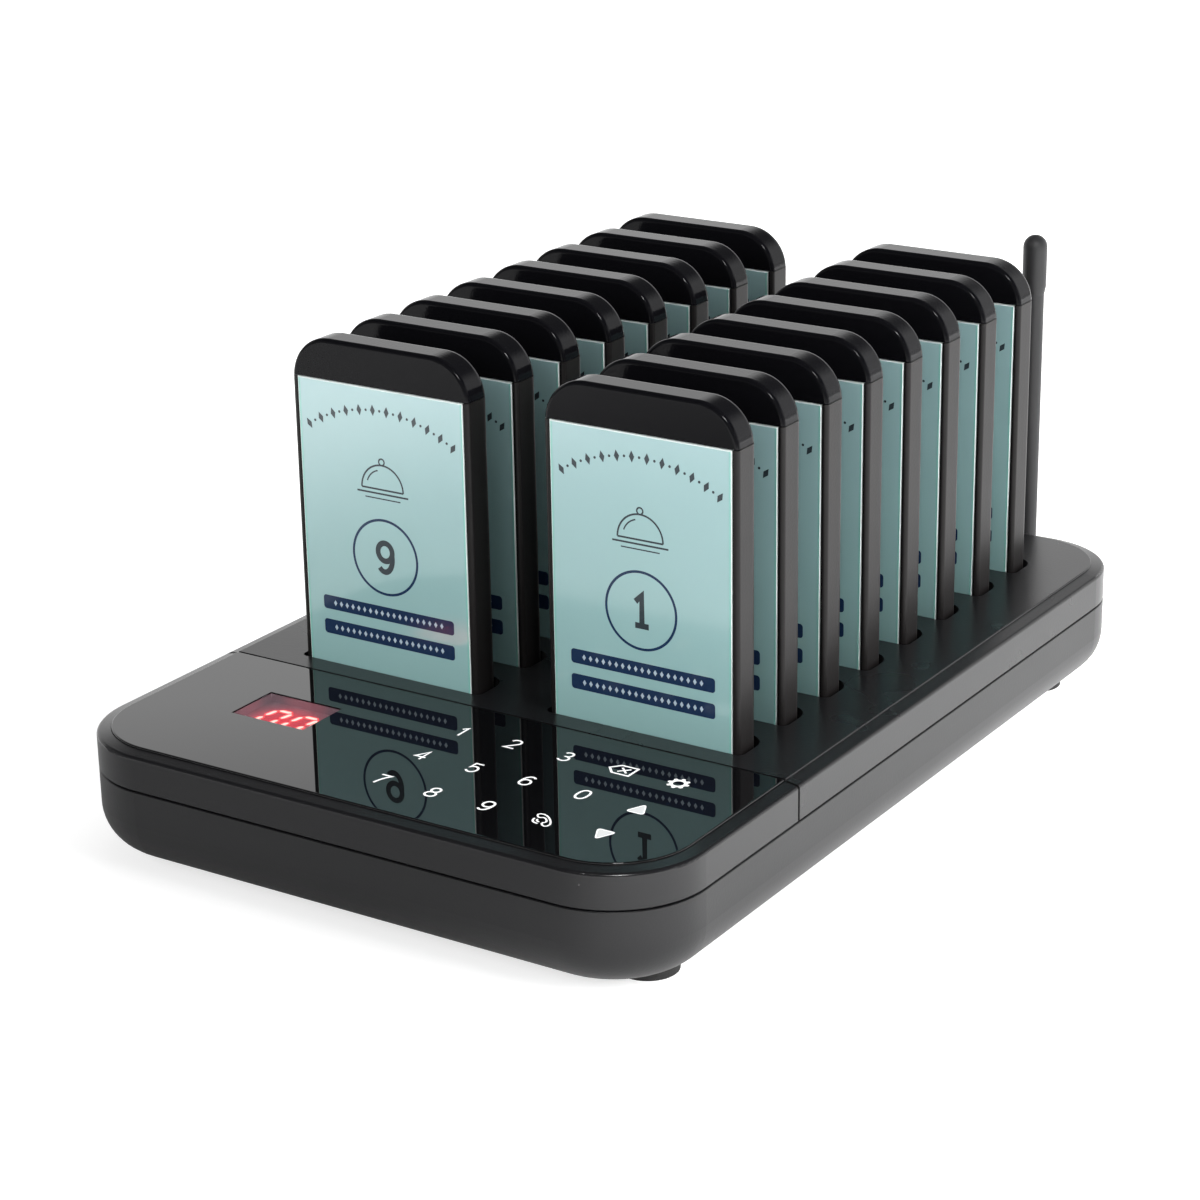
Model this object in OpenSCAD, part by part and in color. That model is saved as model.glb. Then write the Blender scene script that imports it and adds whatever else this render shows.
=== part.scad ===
// Guest pager system: a counter-top charging and calling station with sixteen
// vibrating pagers standing in two rows of wells, a touch keypad with a red
// number display at the front, and a tilting antenna at the back.
// Millimetres. +Z is up and the keypad faces -Y. The table is at z = 0.

/* [Housing] */
// Distance from a row of pagers to the side of the housing
side_run = 21.9; // [19:0.1:32]
// Distance from the last pagers to the rear of the housing
rear_run = 27.9; // [25:0.1:40]
// Height of the housing without its feet
body_h = 33.5; // [32:0.5:40]
// Radius of the housing's corners seen from above
corner_r = 26; // [24:0.5:32]
// Radius of the rounded bottom edge
edge_r = 13; // [8:0.5:16]
// Wall thickness of the mouldings
wall = 2.4; // [2:0.1:3]
// Width of the sloping rim round the deck
rim_w = 3.8; // [3:0.1:5]
// Fall of the sloping rim, with its step
rim_drop = 1.2; // [0.8:0.1:2]
// Step down from the deck to the sloping rim
rim_step = 0.5; // [0.4:0.1:0.7]
// Rounding of the deck's edge above the step
step_round = 0.3; // [0.2:0.05:0.35]
// Rounding between the sloping rim and the side
rim_round = 1; // [0.4:0.1:1.6]
// Depth of the joint between the shells, below the deck
seam_drop = 11; // [10:0.5:13]
// Visible gap at the joints between the shells
seam_gap = 0.4; // [0.2:0.05:0.5]
// Bevel of the shells' edges at their joint
seam_bevel = 0.2; // [0.1:0.05:0.3]
// Height of the locating lip inside the joint
lip_h = 2; // [1.5:0.1:3]
// Thickness of the locating lip
lip_t = 1.1; // [0.9:0.1:1.3]
// Clearance round the locating lip
lip_gap = 0.15; // [0.1:0.05:0.2]

/* [Feet and screws] */
// Radius of the rubber feet
foot_r = 8; // [6:0.5:9]
// Height of the feet below the housing
foot_h = 2.5; // [2:0.1:4]
// Depth of the feet's recesses
foot_sink = 1; // [0.6:0.1:1.4]
// Distance of the feet from the sides of the housing
foot_side = 17; // [16.5:0.5:20]
// Distance of the front feet from the front of the housing
foot_front = 26.5; // [26:0.5:32]
// Distance of the rear feet from the rear of the housing
foot_back = 30.5; // [28:0.5:36]
// Distance of the case screws from the sides of the housing
screw_side = 12; // [11:0.5:13]
// Radius of the screws' shanks
screw_r = 1.45; // [1.2:0.05:1.6]
// Radius of the screw heads
screw_head_r = 2.8; // [2.4:0.1:3]
// Radius of the screw bosses
boss_r = 4.5; // [4.2:0.1:5]
// Radial clearance of the screws
screw_gap = 0.1; // [0.05:0.05:0.2]
// Radius of the posts that carry the circuit boards
post_r = 3; // [2.5:0.1:3.6]
// Radius of the pegs that locate the circuit boards
peg_r = 1.4; // [1:0.1:1.6]
// Radial clearance of the pegs
peg_gap = 0.2; // [0.1:0.05:0.3]

/* [Keypad end] */
// Length of the keypad end, from the front rim to the joint in the deck
console_l = 70.8; // [68:0.2:80]
// Thickness of the glossy touch panel
panel_t = 2.5; // [2:0.1:3]
// Clearance round the touch panel
panel_gap = 0.15; // [0.1:0.05:0.3]
// Width of the ledge that carries the touch panel
ledge_w = 6; // [4:0.5:8]
// Width of the number display's window
window_w = 23.8; // [20:0.2:28]
// Length of the window from front to back
window_l = 16.8; // [14:0.2:20]
// Distance of the window's centre from the side of the housing
window_side = 42.7; // [34:0.1:50]
// Distance of the window's centre from the front rim
window_y = 43.1; // [36:0.1:48]
// Height of the display's digits
digit_h = 9.8; // [8:0.1:11]
// Spacing of the two digits of the display
digit_pitch = 8.5; // [7:0.1:9]

/* [Pagers] */
// Width of a pager
pager_w = 57.4; // [54:0.2:59]
// Thickness of a pager
pager_t = 9.5; // [9:0.1:11]
// Height of a pager
pager_h = 105; // [95:1:115]
// Radius of a pager's upper corners
pager_top_r = 12; // [8:0.5:14]
// Radius of a pager's lower corners
pager_foot_r = 5; // [4:0.5:8]
// Rounding of a pager's front edge
front_round = 1.2; // [0.8:0.1:1.6]
// Rounding of a pager's rear edge
back_round = 2.4; // [1.6:0.1:3]
// Height of the glossy cap at a pager's top
cap_h = 11.2; // [9:0.2:16]
// Width of the printed face plate
face_w = 54; // [50:0.5:54]
// Thickness of the face plate
face_t = 2; // [1.5:0.1:2.5]
// Height of the face plate's lower edge above the pager's foot
face_foot = 6; // [5:0.5:10]
// Clearance between the pieces of a pager
pager_gap = 0.1; // [0.05:0.05:0.2]
// Wall of a pager's shell
shell_wall = 1.5; // [1.2:0.1:1.8]

/* [Wells] */
// Gap between the two rows of pagers
row_gap = 23.4; // [20:0.2:30]
// Distance from one pager to the next in a row
pager_pitch = 22.6; // [22:0.1:23.5]
// Distance from the joint in the deck to the first pager's face
first_gap = 7.6; // [6:0.2:10]
// Depth that a pager stands in its well
pager_in = 13.5; // [12:0.5:15]
// Clearance between a pager and its well
well_gap = 0.45; // [0.3:0.05:0.6]
// Gap under a pager that stands in its well
seat_gap = 0.15; // [0.1:0.05:0.2]
// Extra width of a well's mouth at each side of the pager
mouth_side = 1.3; // [1:0.1:1.6]
// Opening of a well's mouth in front of the pager
mouth_front = 0.8; // [0.6:0.1:1.2]
// Opening of a well's mouth behind the pager
mouth_back = 3.4; // [2:0.1:4]
// Depth of a well's wider mouth
mouth_h = 4; // [3:0.5:6]
// Radius of a mouth's front corners
mouth_front_r = 2; // [1:0.5:3]
// Radius of a mouth's rear corners
mouth_back_r = 6; // [4:0.5:7]
// Wall round a well
well_wall = 1.6; // [1.2:0.1:1.8]

/* [Charging] */
// Distance of a charging contact from the middle of its pager
contact_x = 14; // [10:1:18]
// Radius of a charging contact's tip
contact_r = 0.8; // [0.6:0.1:1]
// Thickness of the circuit boards
board_t = 1.6; // [1:0.2:2]
// Gap between the wells and the charging board
board_drop = 2.2; // [1.5:0.1:2.6]
// Height of the keypad end's main board above the floor
main_board_z = 4; // [3:0.5:6]

/* [Antenna] */
// Distance of the antenna from the side of the housing
antenna_side = 41.3; // [36:0.1:48]
// Radius of the antenna's elbow and head
antenna_r = 3.6; // [3.5:0.1:4.5]
// Radius of the antenna's shaft
shaft_r = 3.1; // [2.4:0.1:3.4]
// Height of the antenna's thicker head
head_h = 12; // [8:0.5:20]
// Height of the antenna's tip above the deck
antenna_rise = 88.2; // [60:0.2:150]
// Distance from the rear wall to the elbow's pin
elbow_out = 13.4; // [13:0.1:16]
// Radius of the elbow's pin
elbow_pin_r = 1; // [0.8:0.1:1.2]
// Thickness of the elbow's tongue
tongue_t = 3; // [2.4:0.1:3.4]
// Radial clearance of the elbow's pin
pin_gap = 0.05; // [0.03:0.01:0.08]
// Radius of the threaded socket
socket_r = 3.1; // [2.8:0.1:3.2]

/* [Power] */
// Distance of the power inlet from the centre line
inlet_x = 25; // [20:1:32]
// Radius of the power inlet's hole
inlet_r = 3.2; // [3:0.1:3.4]
// Radius of the power inlet's centre pin
inlet_pin_r = 1.05; // [0.8:0.05:1.25]
// Distance of the power switch from the centre line
switch_x = 50; // [46:1:54]
// Width of the power switch's frame
switch_w = 15; // [14:0.5:17]
// Height of the power switch's frame
switch_h = 9.6; // [9:0.2:10]
// Tilt of the power switch's rocker to each side
rocker_tilt = 10; // [6:1:12]

/* [Hidden] */
$fn = 64;
bays = 8;
pagers = 2 * bays;
over = 1;

function two_digits(n) = n < 10 ? str("0", n) : str(n);
function case_name(n) = str("pager_", two_digits(n), "_case");
function face_name(n) = str("pager_", two_digits(n), "_face");

// Plan positions
row_spacing = pager_w + row_gap;
base_w = row_spacing + pager_w + 2 * side_run;
base_l = console_l + first_gap + (bays - 1) * pager_pitch + pager_t + rear_run;
antenna_x = base_w / 2 - antenna_side;
antenna_reach = elbow_out + antenna_r;
front_y = -(base_l + antenna_reach) / 2;
back_y = front_y + base_l;
mid_y = front_y + base_l / 2;
joint_y = front_y + console_l;
first_y = joint_y + first_gap;

// Heights
frame_gap = 0.6;
deck_z = foot_h + body_h;
rim_z = deck_z - rim_drop;
joint_z = deck_z - seam_drop;
floor_z = foot_h + wall;
ceiling_z = deck_z - wall;
well_z = deck_z - pager_in;
pager_z = well_z + seat_gap;
panel_z = deck_z - panel_t;
charge_z = well_z - well_wall - board_drop - board_t;
main_z = floor_z + main_board_z;
rear_z = joint_z - switch_h / 2 - frame_gap;

// Keypad end
panel_w = base_w - 2 * rim_w - 2 * panel_gap;
panel_front = front_y + rim_w + panel_gap;
panel_back = joint_y - seam_gap / 2 - panel_gap;
panel_r = corner_r - rim_w - panel_gap;
window_mid = [window_side - base_w / 2, front_y + window_y];
display_gap = 0.5;
display_w = window_w - 2 * display_gap;
display_l = window_l - 2 * display_gap;
display_h = 6.5;
glow_t = 0.2;
glow_gap = 0.3;
digit_bar_w = 1;
digit_bar_gap = 0.3;
touch_gap = 0.8;
touch_w = 2 * (base_w / 2 - screw_side - boss_r - display_gap);
main_gap = 2;
main_side = 29;
main_w = base_w - 2 * main_side;
main_l = console_l - 2 * (rim_w + ledge_w);
main_y = front_y + rim_w + ledge_w + main_gap + main_l / 2;
cable_x = 20;
cable_w = 16;
cable_t = 0.5;
plug_h = 2;
chip_w = 12;
chip_t = 1.4;
buzzer_side = 22;
buzzer_x = main_w / 2 - buzzer_side;
buzzer_r = 6;
buzzer_h = 9;

// Boards, posts and screws
charge_side = 15;
charge_end = 6;
charge_w = row_spacing + 2 * (contact_x + charge_side);
charge_l = (bays - 1) * pager_pitch + 2 * charge_end;
charge_y = first_y + pager_t / 2 + (bays - 1) * pager_pitch / 2;
post_inset = 5;
foot_rim = 3;
foot_dish = 0.4;
peg_h = board_t + 0.6;
screw_x = base_w / 2 - screw_side;
foot_x = base_w / 2 - foot_side;
boss_drop = 5;
boss_z = joint_z - boss_drop;
boss_foot = floor_z - wall / 2;
screw_tip = 4;
screw_sink = 5.6;
screw_seat = foot_h + screw_sink;
screw_head_t = 2;
slot_l = 3.2;
slot_w = 0.7;
screw_end = ceiling_z - screw_tip;
screw_foot_gap = 0.4;
screw_past_foot = foot_r + screw_head_r + screw_foot_gap;
screw_rows = [
    front_y + foot_front + screw_past_foot,
    first_y + 2.5 * pager_pitch,
    back_y - foot_back - screw_past_foot
];

// A pager's own frame: x from its middle, y back from its face, z up from its foot
cap_z = pager_h - cap_h;
pager_seam = 0.25;
face_rest = 1.8;
cavity_w = face_w - 2 * face_rest;
cavity_foot = 5;
cavity_back = pager_t - shell_wall;
spigot_h = 3;
pad_w = 5;
pad_l = 3.6;
pad_sink = 0.3;
pad_y = face_t + (pager_t - face_t) / 2;
mouth_w = pager_w + 2 * mouth_side;
pcb_t = 1;
pcb_gap = 1;
pcb_inset = 1;
pcb_foot = cavity_foot + spigot_h;
pcb_top = cap_z - spigot_h - 2 * pcb_gap;
pin_r = 2;
pin_inset = 6;
lamp_w = 3;
lamp_t = 1.3;
lamp_pitch = 9;
lamp_drop = 10;
processor_w = 12;
processor_z = 24;
battery_w = 30;
battery_h = 38;
battery_t = 3.4;
battery_gap = 0.3;
battery_z = 42;
motor_x = 15;
motor_z = 24;
motor_r = 5;
motor_t = 2.8;

// Antenna and rear fittings
elbow_y = back_y + elbow_out;
elbow_z = rear_z + 0.4;
elbow_gap = 0.6;
pin_cap = 0.8;
pin_l = 2 * (antenna_r - pin_cap);
nut_t = 2;
nut_r = 4.6;
socket_in = 3;
socket_out = 3.6;
collar_r = 4.8;
collar_gap = 0.2;
collar_end = elbow_out - antenna_r - elbow_gap;
knurls = 18;
knurl_r = 0.45;
rod_end = deck_z + antenna_rise;
knuckle_h = 6;
taper_h = 2.5;
radio_w = 20;
radio_l = 14;
radio_post = 6;
radio_back = 18;
radio_rise = 4;
radio_y = back_y - radio_back;
radio_z = floor_z + radio_rise;
lead_r = 0.9;
lead_bend = 4;
jack_w = 9;
jack_l = 13;
jack_depth = 10;
jack_gap = 0.1;
inlet_lip = 0.8;
flange_t = 1.2;
frame_step = 1;
frame_in = 11;
frame_floor = 3.5;
frame_wall = 1.2;
pivot_r = 0.9;
pivot_in = 1.5;
rocker_gap = 0.4;
rocker_rise = 3.4;
rocker_back = 2.5;

// Rounded-end shapes ---------------------------------------------------------

// One quarter of a tub's section: wall at x = reach, floor at y = low
module tub_section(reach, round_r, low, high) {
    intersection() {
        translate([0, low])
            square([reach, high - low]);
        union() {
            translate([0, low])
                square([reach - round_r, high - low]);
            translate([0, low + round_r])
                square([reach, high - low]);
            translate([reach - round_r, low + round_r])
                circle(round_r);
        }
    }
}

// Carries a section round the housing's outline. The section's x is measured
// outwards from the centre of a corner, and its y is the height.
module carry_round() {
    half_w = base_w / 2 - corner_r;
    half_l = base_l / 2 - corner_r;
    for (turn = [0 : 3])
        translate([
            (turn == 0 || turn == 3 ? 1 : -1) * half_w,
            mid_y + (turn < 2 ? 1 : -1) * half_l,
            0
        ])
            rotate([0, 0, 90 * turn])
                rotate_extrude(angle = 90)
                    children();
    for (side = [0, 180])
        translate([0, mid_y, 0])
            rotate([0, 0, side]) {
                translate([half_w, 0, 0])
                    rotate([90, 0, 0])
                        linear_extrude(2 * half_l, center = true)
                            children();
                translate([0, half_l, 0])
                    rotate([90, 0, 90])
                        linear_extrude(2 * half_w, center = true)
                            children();
            }
}

// A level plate inside the ring of carry_round
module core_plate(low, high) {
    translate([-base_w / 2 + corner_r, mid_y - base_l / 2 + corner_r, low])
        cube([base_w - 2 * corner_r, base_l - 2 * corner_r, high - low]);
}

// Outline with its own corner radius at the front and at the back
module well_outline(w, front, back, front_r, back_r) {
    middle = front + front_r;
    translate([-w / 2, middle])
        square([w, back - back_r - middle]);
    for (s = [-1, 1]) {
        translate([s * (w / 2 - front_r), middle])
            circle(front_r);
        translate([s * (w / 2 - back_r), back - back_r])
            circle(back_r);
    }
    translate([-w / 2 + front_r, front])
        square([w - 2 * front_r, front_r]);
    translate([-w / 2 + back_r, back - back_r])
        square([w - 2 * back_r, back_r]);
}

// Section of a pager's edge: x outwards to reach, y from its face to its back
module pager_edge(reach) {
    middle = pager_t - back_round - front_round;
    square([reach - back_round, pager_t]);
    translate([0, front_round])
        square([reach, middle]);
    translate([reach - front_round, front_round])
        circle(front_round);
    translate([reach - back_round, pager_t - back_round])
        circle(back_round);
    translate([0, 0])
        square([reach - front_round, front_round]);
}

// A pager's whole outside, with its upper and lower corners
module pager_body() {
    upper_x = pager_w / 2 - pager_top_r;
    upper_z = pager_h - pager_top_r;
    lower_x = pager_w / 2 - pager_foot_r;
    for (s = [0, 1])
        mirror([s, 0, 0]) {
            translate([upper_x, 0, upper_z])
                rotate([-90, 0, 0])
                    rotate([0, 0, -90])
                        rotate_extrude(angle = 90)
                            pager_edge(pager_top_r);
            translate([lower_x, 0, pager_foot_r])
                rotate([-90, 0, 0])
                    rotate_extrude(angle = 90)
                        pager_edge(pager_foot_r);
            translate([upper_x, 0, pager_foot_r])
                linear_extrude(upper_z - pager_foot_r)
                    pager_edge(pager_top_r);
        }
    translate([-upper_x, 0, pager_foot_r])
        cube([2 * upper_x, pager_t, upper_z - pager_foot_r]);
    translate([-upper_x, 0, upper_z])
        rotate([90, 0, 90])
            linear_extrude(2 * upper_x)
                mirror([1, -1, 0])
                    pager_edge(pager_top_r);
    translate([-lower_x, 0, pager_foot_r])
        rotate([90, 0, 90])
            linear_extrude(2 * lower_x)
                mirror([0, 1, 0])
                    mirror([1, -1, 0])
                        pager_edge(pager_foot_r);
}

// Places its children at pager n: 1 to 8 stand on the right, 9 to 16 on the left
module at_pager(n) {
    side = n > bays ? -1 : 1;
    translate([
        side * row_spacing / 2,
        first_y + (n - 1) % bays * pager_pitch,
        pager_z
    ])
        children();
}

module at_each_pager() {
    for (n = [1 : pagers])
        at_pager(n)
            children();
}

// Housing --------------------------------------------------------------------

module shell_post(x, y, top) {
    translate([x, y, boss_foot]) {
        cylinder(h = top - boss_foot, r = post_r);
        cylinder(h = top - boss_foot + peg_h, r = peg_r);
    }
}

module at_screws() {
    for (s = [-1, 1])
        for (y = screw_rows)
            translate([s * screw_x, y, 0])
                children();
}

module at_feet() {
    for (s = [-1, 1])
        for (y = [front_y + foot_front, back_y - foot_back])
            translate([s * foot_x, y, 0])
                children();
}

module at_charge_posts() {
    for (x = [-1, 0, 1])
        for (y = [-1, 1])
            translate([
                x * (charge_w / 2 - post_inset),
                charge_y + y * (charge_l / 2 - post_inset),
                0
            ])
                children();
}

module at_main_posts() {
    for (x = [-1, 1])
        for (y = [-1, 1])
            translate([
                x * (main_w / 2 - post_inset),
                main_y + y * (main_l / 2 - post_inset),
                0
            ])
                children();
}

module bottom_shell() {
    color("#1b1b1d")
        difference() {
            union() {
                carry_round()
                    difference() {
                        tub_section(corner_r, edge_r, foot_h, joint_z);
                        tub_section(corner_r - wall, edge_r - wall, floor_z, joint_z + over);
                        translate([corner_r, joint_z])
                            rotate([0, 0, 45])
                                square(sqrt(2) * seam_bevel, center = true);
                    }
                core_plate(foot_h, floor_z);
                carry_round()
                    translate([corner_r - wall, joint_z - wall])
                        square([lip_t, lip_h + wall]);
                at_charge_posts()
                    shell_post(0, 0, charge_z);
                at_main_posts()
                    shell_post(0, 0, main_z);
                for (s = [-1, 1])
                    shell_post(antenna_x + s * radio_post, radio_y, radio_z);
                at_screws()
                    translate([0, 0, boss_foot])
                        cylinder(h = boss_z - boss_foot, r = boss_r);
            }
            at_screws() {
                cylinder(h = deck_z, r = screw_r + screw_gap);
                cylinder(h = screw_seat + screw_head_t, r = screw_head_r + screw_gap);
            }
            at_feet()
                cylinder(h = foot_h + foot_sink, r = foot_r + screw_gap);
            translate([antenna_x, back_y - 2 * wall, elbow_z])
                rotate([-90, 0, 0])
                    cylinder(h = 4 * wall, r = socket_r + pin_gap);
            translate([-inlet_x, back_y - 2 * wall, rear_z])
                rotate([-90, 0, 0])
                    cylinder(h = 4 * wall, r = inlet_r + inlet_lip);
            translate([
                -switch_x - switch_w / 2 + frame_step,
                back_y - 2 * wall,
                rear_z - switch_h / 2 + frame_step / 2
            ])
                cube([switch_w - 2 * frame_step, 4 * wall, switch_h - frame_step]);
        }
}

// Section shared by the two upper mouldings: skirt, lip rebate, and a rim that
// lies a step below the deck and slopes to the side. The deck's edge runs on in
// line with the touch panel's. The rim meets the side in an arc that starts
// rim_cut from the corner.
module lid_section() {
    skirt = corner_r - wall;
    slope = atan((rim_drop - rim_step) / (corner_r - panel_r));
    rim_cut = rim_round / tan(45 + slope / 2);
    polygon([
        [corner_r - seam_bevel, joint_z + seam_gap],
        [corner_r, joint_z + seam_gap + seam_bevel],
        [corner_r, rim_z - rim_cut],
        [corner_r - rim_cut * cos(slope), rim_z + rim_cut * sin(slope)],
        [panel_r, deck_z - rim_step],
        [panel_r, deck_z - step_round],
        [panel_r - step_round, deck_z],
        [0, deck_z],
        [0, ceiling_z],
        [skirt, ceiling_z],
        [skirt, joint_z + lip_h + 2 * lip_gap],
        [skirt + lip_t + lip_gap, joint_z + lip_h + 2 * lip_gap],
        [skirt + lip_t + lip_gap, joint_z + seam_gap]
    ]);
    translate([corner_r - rim_round, rim_z - rim_cut])
        circle(rim_round);
    translate([panel_r - step_round, deck_z - step_round])
        circle(step_round);
}

// The stretch of the lid, with what hangs on it, from one y to another
module lid_between(y0, y1) {
    intersection() {
        union() {
            carry_round()
                lid_section();
            core_plate(ceiling_z, deck_z);
            children();
        }
        translate([-base_w, y0, 0])
            cube([2 * base_w, y1 - y0, 2 * deck_z]);
    }
}

module lid_boss(y) {
    for (s = [-1, 1])
        translate([s * screw_x, y, boss_z + seam_gap])
            cylinder(h = ceiling_z + wall / 2 - boss_z - seam_gap, r = boss_r);
}

module lid_boss_hole(y) {
    for (s = [-1, 1])
        translate([s * screw_x, y, boss_z])
            cylinder(h = screw_end + seam_gap - boss_z, r = screw_r + screw_gap);
}

module rear_deck() {
    depth = pager_in + well_wall;
    color("#1f1f21")
        difference() {
            union() {
                lid_between(joint_y + seam_gap / 2, back_y + over);
                at_each_pager()
                    translate([0, 0, -seat_gap - well_wall])
                        linear_extrude(depth - wall / 2)
                            well_outline(
                                mouth_w + 2 * well_wall,
                                -mouth_front - well_wall,
                                pager_t + mouth_back + well_wall,
                                mouth_front_r + well_wall,
                                mouth_back_r + well_wall
                            );
                lid_boss(screw_rows[1]);
                lid_boss(screw_rows[2]);
            }
            at_each_pager() {
                translate([0, 0, -seat_gap])
                    linear_extrude(pager_in + over)
                        well_outline(
                            pager_w + 2 * well_gap,
                            -well_gap,
                            pager_t + well_gap,
                            front_round,
                            back_round
                        );
                translate([0, 0, pager_in - seat_gap - mouth_h])
                    linear_extrude(mouth_h + over)
                        well_outline(
                            mouth_w,
                            -mouth_front,
                            pager_t + mouth_back,
                            mouth_front_r,
                            mouth_back_r
                        );
                for (s = [-1, 1])
                    translate([s * contact_x, pad_y, -seat_gap - well_wall - over])
                        cylinder(h = well_wall + 2 * over, r = contact_r + well_gap);
            }
            lid_boss_hole(screw_rows[1]);
            lid_boss_hole(screw_rows[2]);
        }
}

// The panel's outline in plan, with a margin round it
module panel_outline(margin) {
    r = panel_r + margin;
    half = panel_w / 2 + margin;
    front = panel_front - margin;
    back = panel_back + margin;
    translate([-half, front + r])
        square([2 * half, back - front - r]);
    translate([-half + r, front])
        square([2 * half - 2 * r, r]);
    for (s = [-1, 1])
        translate([s * (half - r), front + r])
            circle(r);
}

module front_bezel() {
    color("#1b1b1d")
        difference() {
            union() {
                lid_between(front_y - over, joint_y - seam_gap / 2)
                    translate([0, 0, panel_z - wall])
                        linear_extrude(wall)
                            panel_outline(rim_w + panel_gap - wall / 2);
                lid_boss(screw_rows[0]);
            }
            translate([0, 0, panel_z])
                linear_extrude(panel_t + over)
                    panel_outline(panel_gap);
            translate([0, 0, panel_z - wall - over])
                linear_extrude(wall + 2 * over)
                    difference() {
                        panel_outline(-ledge_w);
                        for (s = [-1, 1])
                            translate([s * screw_x, screw_rows[0]])
                                circle(boss_r);
                    }
            lid_boss_hole(screw_rows[0]);
        }
}

module window_outline(margin) {
    translate(window_mid)
        square([window_w + 2 * margin, window_l + 2 * margin], center = true);
}

module touch_panel() {
    color("#08080a")
        translate([0, 0, panel_z])
            linear_extrude(panel_t)
                difference() {
                    panel_outline(0);
                    window_outline(panel_gap / 3);
                }
}

module display_window() {
    color("#6b4a4c", 0.6)
        translate([0, 0, panel_z])
            linear_extrude(panel_t)
                window_outline(0);
}

// One bar of a digit, pointed at both ends
module digit_bar(length, width) {
    polygon([
        [-length / 2, 0],
        [-length / 2 + width / 2, width / 2],
        [length / 2 - width / 2, width / 2],
        [length / 2, 0],
        [length / 2 - width / 2, -width / 2],
        [-length / 2 + width / 2, -width / 2]
    ]);
}

module digit() {
    digit_w = digit_h / 2;
    for (row = [-1, 0, 1])
        translate([0, row * digit_h / 2])
            digit_bar(digit_w - digit_bar_gap, digit_bar_w);
    for (sx = [-1, 1])
        for (sy = [-1, 1])
            translate([sx * digit_w / 2, sy * digit_h / 4])
                rotate([0, 0, 90])
                    digit_bar(digit_h / 2 - digit_bar_gap, digit_bar_w);
    translate([digit_w / 2 + digit_bar_w, -digit_h / 2])
        circle(digit_bar_w / 2 - digit_bar_gap / 6);
}

module display_module() {
    display_z = panel_z - glow_gap - glow_t;
    color("#7a2020") {
        translate([window_mid[0], window_mid[1], display_z - display_h / 2])
            cube([display_w, display_l, display_h], center = true);
        translate([window_mid[0], window_mid[1], display_z])
            linear_extrude(glow_t)
                for (side = [-1, 1])
                    translate([side * digit_pitch / 2, 0])
                        digit();
    }
}

module touch_board() {
    color("#14532d")
        translate([0, 0, panel_z - board_t])
            linear_extrude(board_t)
                difference() {
                    intersection() {
                        panel_outline(-ledge_w - touch_gap);
                        translate([0, mid_y])
                            square([touch_w, base_l], center = true);
                    }
                    translate(window_mid)
                        square([window_w, window_l], center = true);
                }
}

// Flat cable from the main board's socket up to the touch board
module flat_cable() {
    low = main_z + board_t + plug_h;
    high = panel_z - board_t;
    color("#d8d4c8")
        translate([cable_x, main_y, low])
            linear_extrude(high - low)
                square([cable_w, cable_t], center = true);
}

module main_board() {
    color("#14532d") {
        translate([0, main_y, main_z])
            linear_extrude(board_t)
                difference() {
                    square([main_w, main_l], center = true);
                    for (x = [-1, 1])
                        for (y = [-1, 1])
                            translate([x * (main_w / 2 - post_inset), y * (main_l / 2 - post_inset)])
                                circle(peg_r + peg_gap);
                }
        translate([cable_x, main_y, main_z + board_t + plug_h / 2])
            cube([cable_w + 4 * cable_t, plug_h + 2 * cable_t, plug_h], center = true);
        translate([-chip_w / 2, main_y, main_z + board_t + chip_t / 2])
            cube([chip_w, chip_w, chip_t], center = true);
    }
}

module buzzer() {
    color("#101010")
        translate([-buzzer_x, main_y, main_z + board_t])
            difference() {
                cylinder(h = buzzer_h, r = buzzer_r);
                translate([0, 0, buzzer_h - 1])
                    cylinder(h = 1 + over, r = 1);
            }
}

module charge_board() {
    color("#14532d")
        translate([0, charge_y, charge_z])
            linear_extrude(board_t)
                difference() {
                    square([charge_w, charge_l], center = true);
                    for (x = [-1, 0, 1])
                        for (y = [-1, 1])
                            translate([x * (charge_w / 2 - post_inset), y * (charge_l / 2 - post_inset)])
                                circle(peg_r + peg_gap);
                }
}

module charge_contacts() {
    tip = pad_sink - seat_gap;
    base = charge_z + board_t - pager_z;
    color("#d4af37")
        at_each_pager()
            for (s = [-1, 1])
                translate([s * contact_x, pad_y, base]) {
                    cylinder(h = tip - base - contact_r, r = contact_r);
                    translate([0, 0, tip - base - contact_r])
                        sphere(contact_r);
                }
}

module radio_module() {
    color("#1e3a8a") {
        translate([antenna_x, radio_y, radio_z])
            linear_extrude(board_t)
                difference() {
                    square([radio_w, radio_l], center = true);
                    for (s = [-1, 1])
                        translate([s * radio_post, 0])
                            circle(peg_r + peg_gap);
                }
        translate([antenna_x, radio_y - radio_l / 3, radio_z + board_t + chip_t / 2])
            cube([radio_l, radio_l / 4, chip_t], center = true);
    }
}

// Coaxial lead from the socket's inner end down to the radio module
module antenna_lead() {
    start_y = back_y - wall - nut_t - socket_in;
    drop_y = radio_y + radio_l / 2 - socket_in;
    color("#2b2b2b") {
        translate([antenna_x, drop_y + lead_bend, elbow_z])
            rotate([-90, 0, 0])
                cylinder(h = start_y - drop_y - lead_bend, r = lead_r);
        translate([antenna_x, drop_y + lead_bend, elbow_z - lead_bend])
            rotate([90, 0, -90])
                rotate_extrude(angle = 90)
                    translate([lead_bend, 0])
                        circle(lead_r);
        translate([antenna_x, drop_y, radio_z + board_t])
            cylinder(h = elbow_z - lead_bend - radio_z - board_t, r = lead_r);
    }
}

// Rear fittings --------------------------------------------------------------

module hex_nut(r, t, bore) {
    difference() {
        cylinder(h = t, r = r, $fn = 6);
        translate([0, 0, -over])
            cylinder(h = t + 2 * over, r = bore);
    }
}

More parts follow.
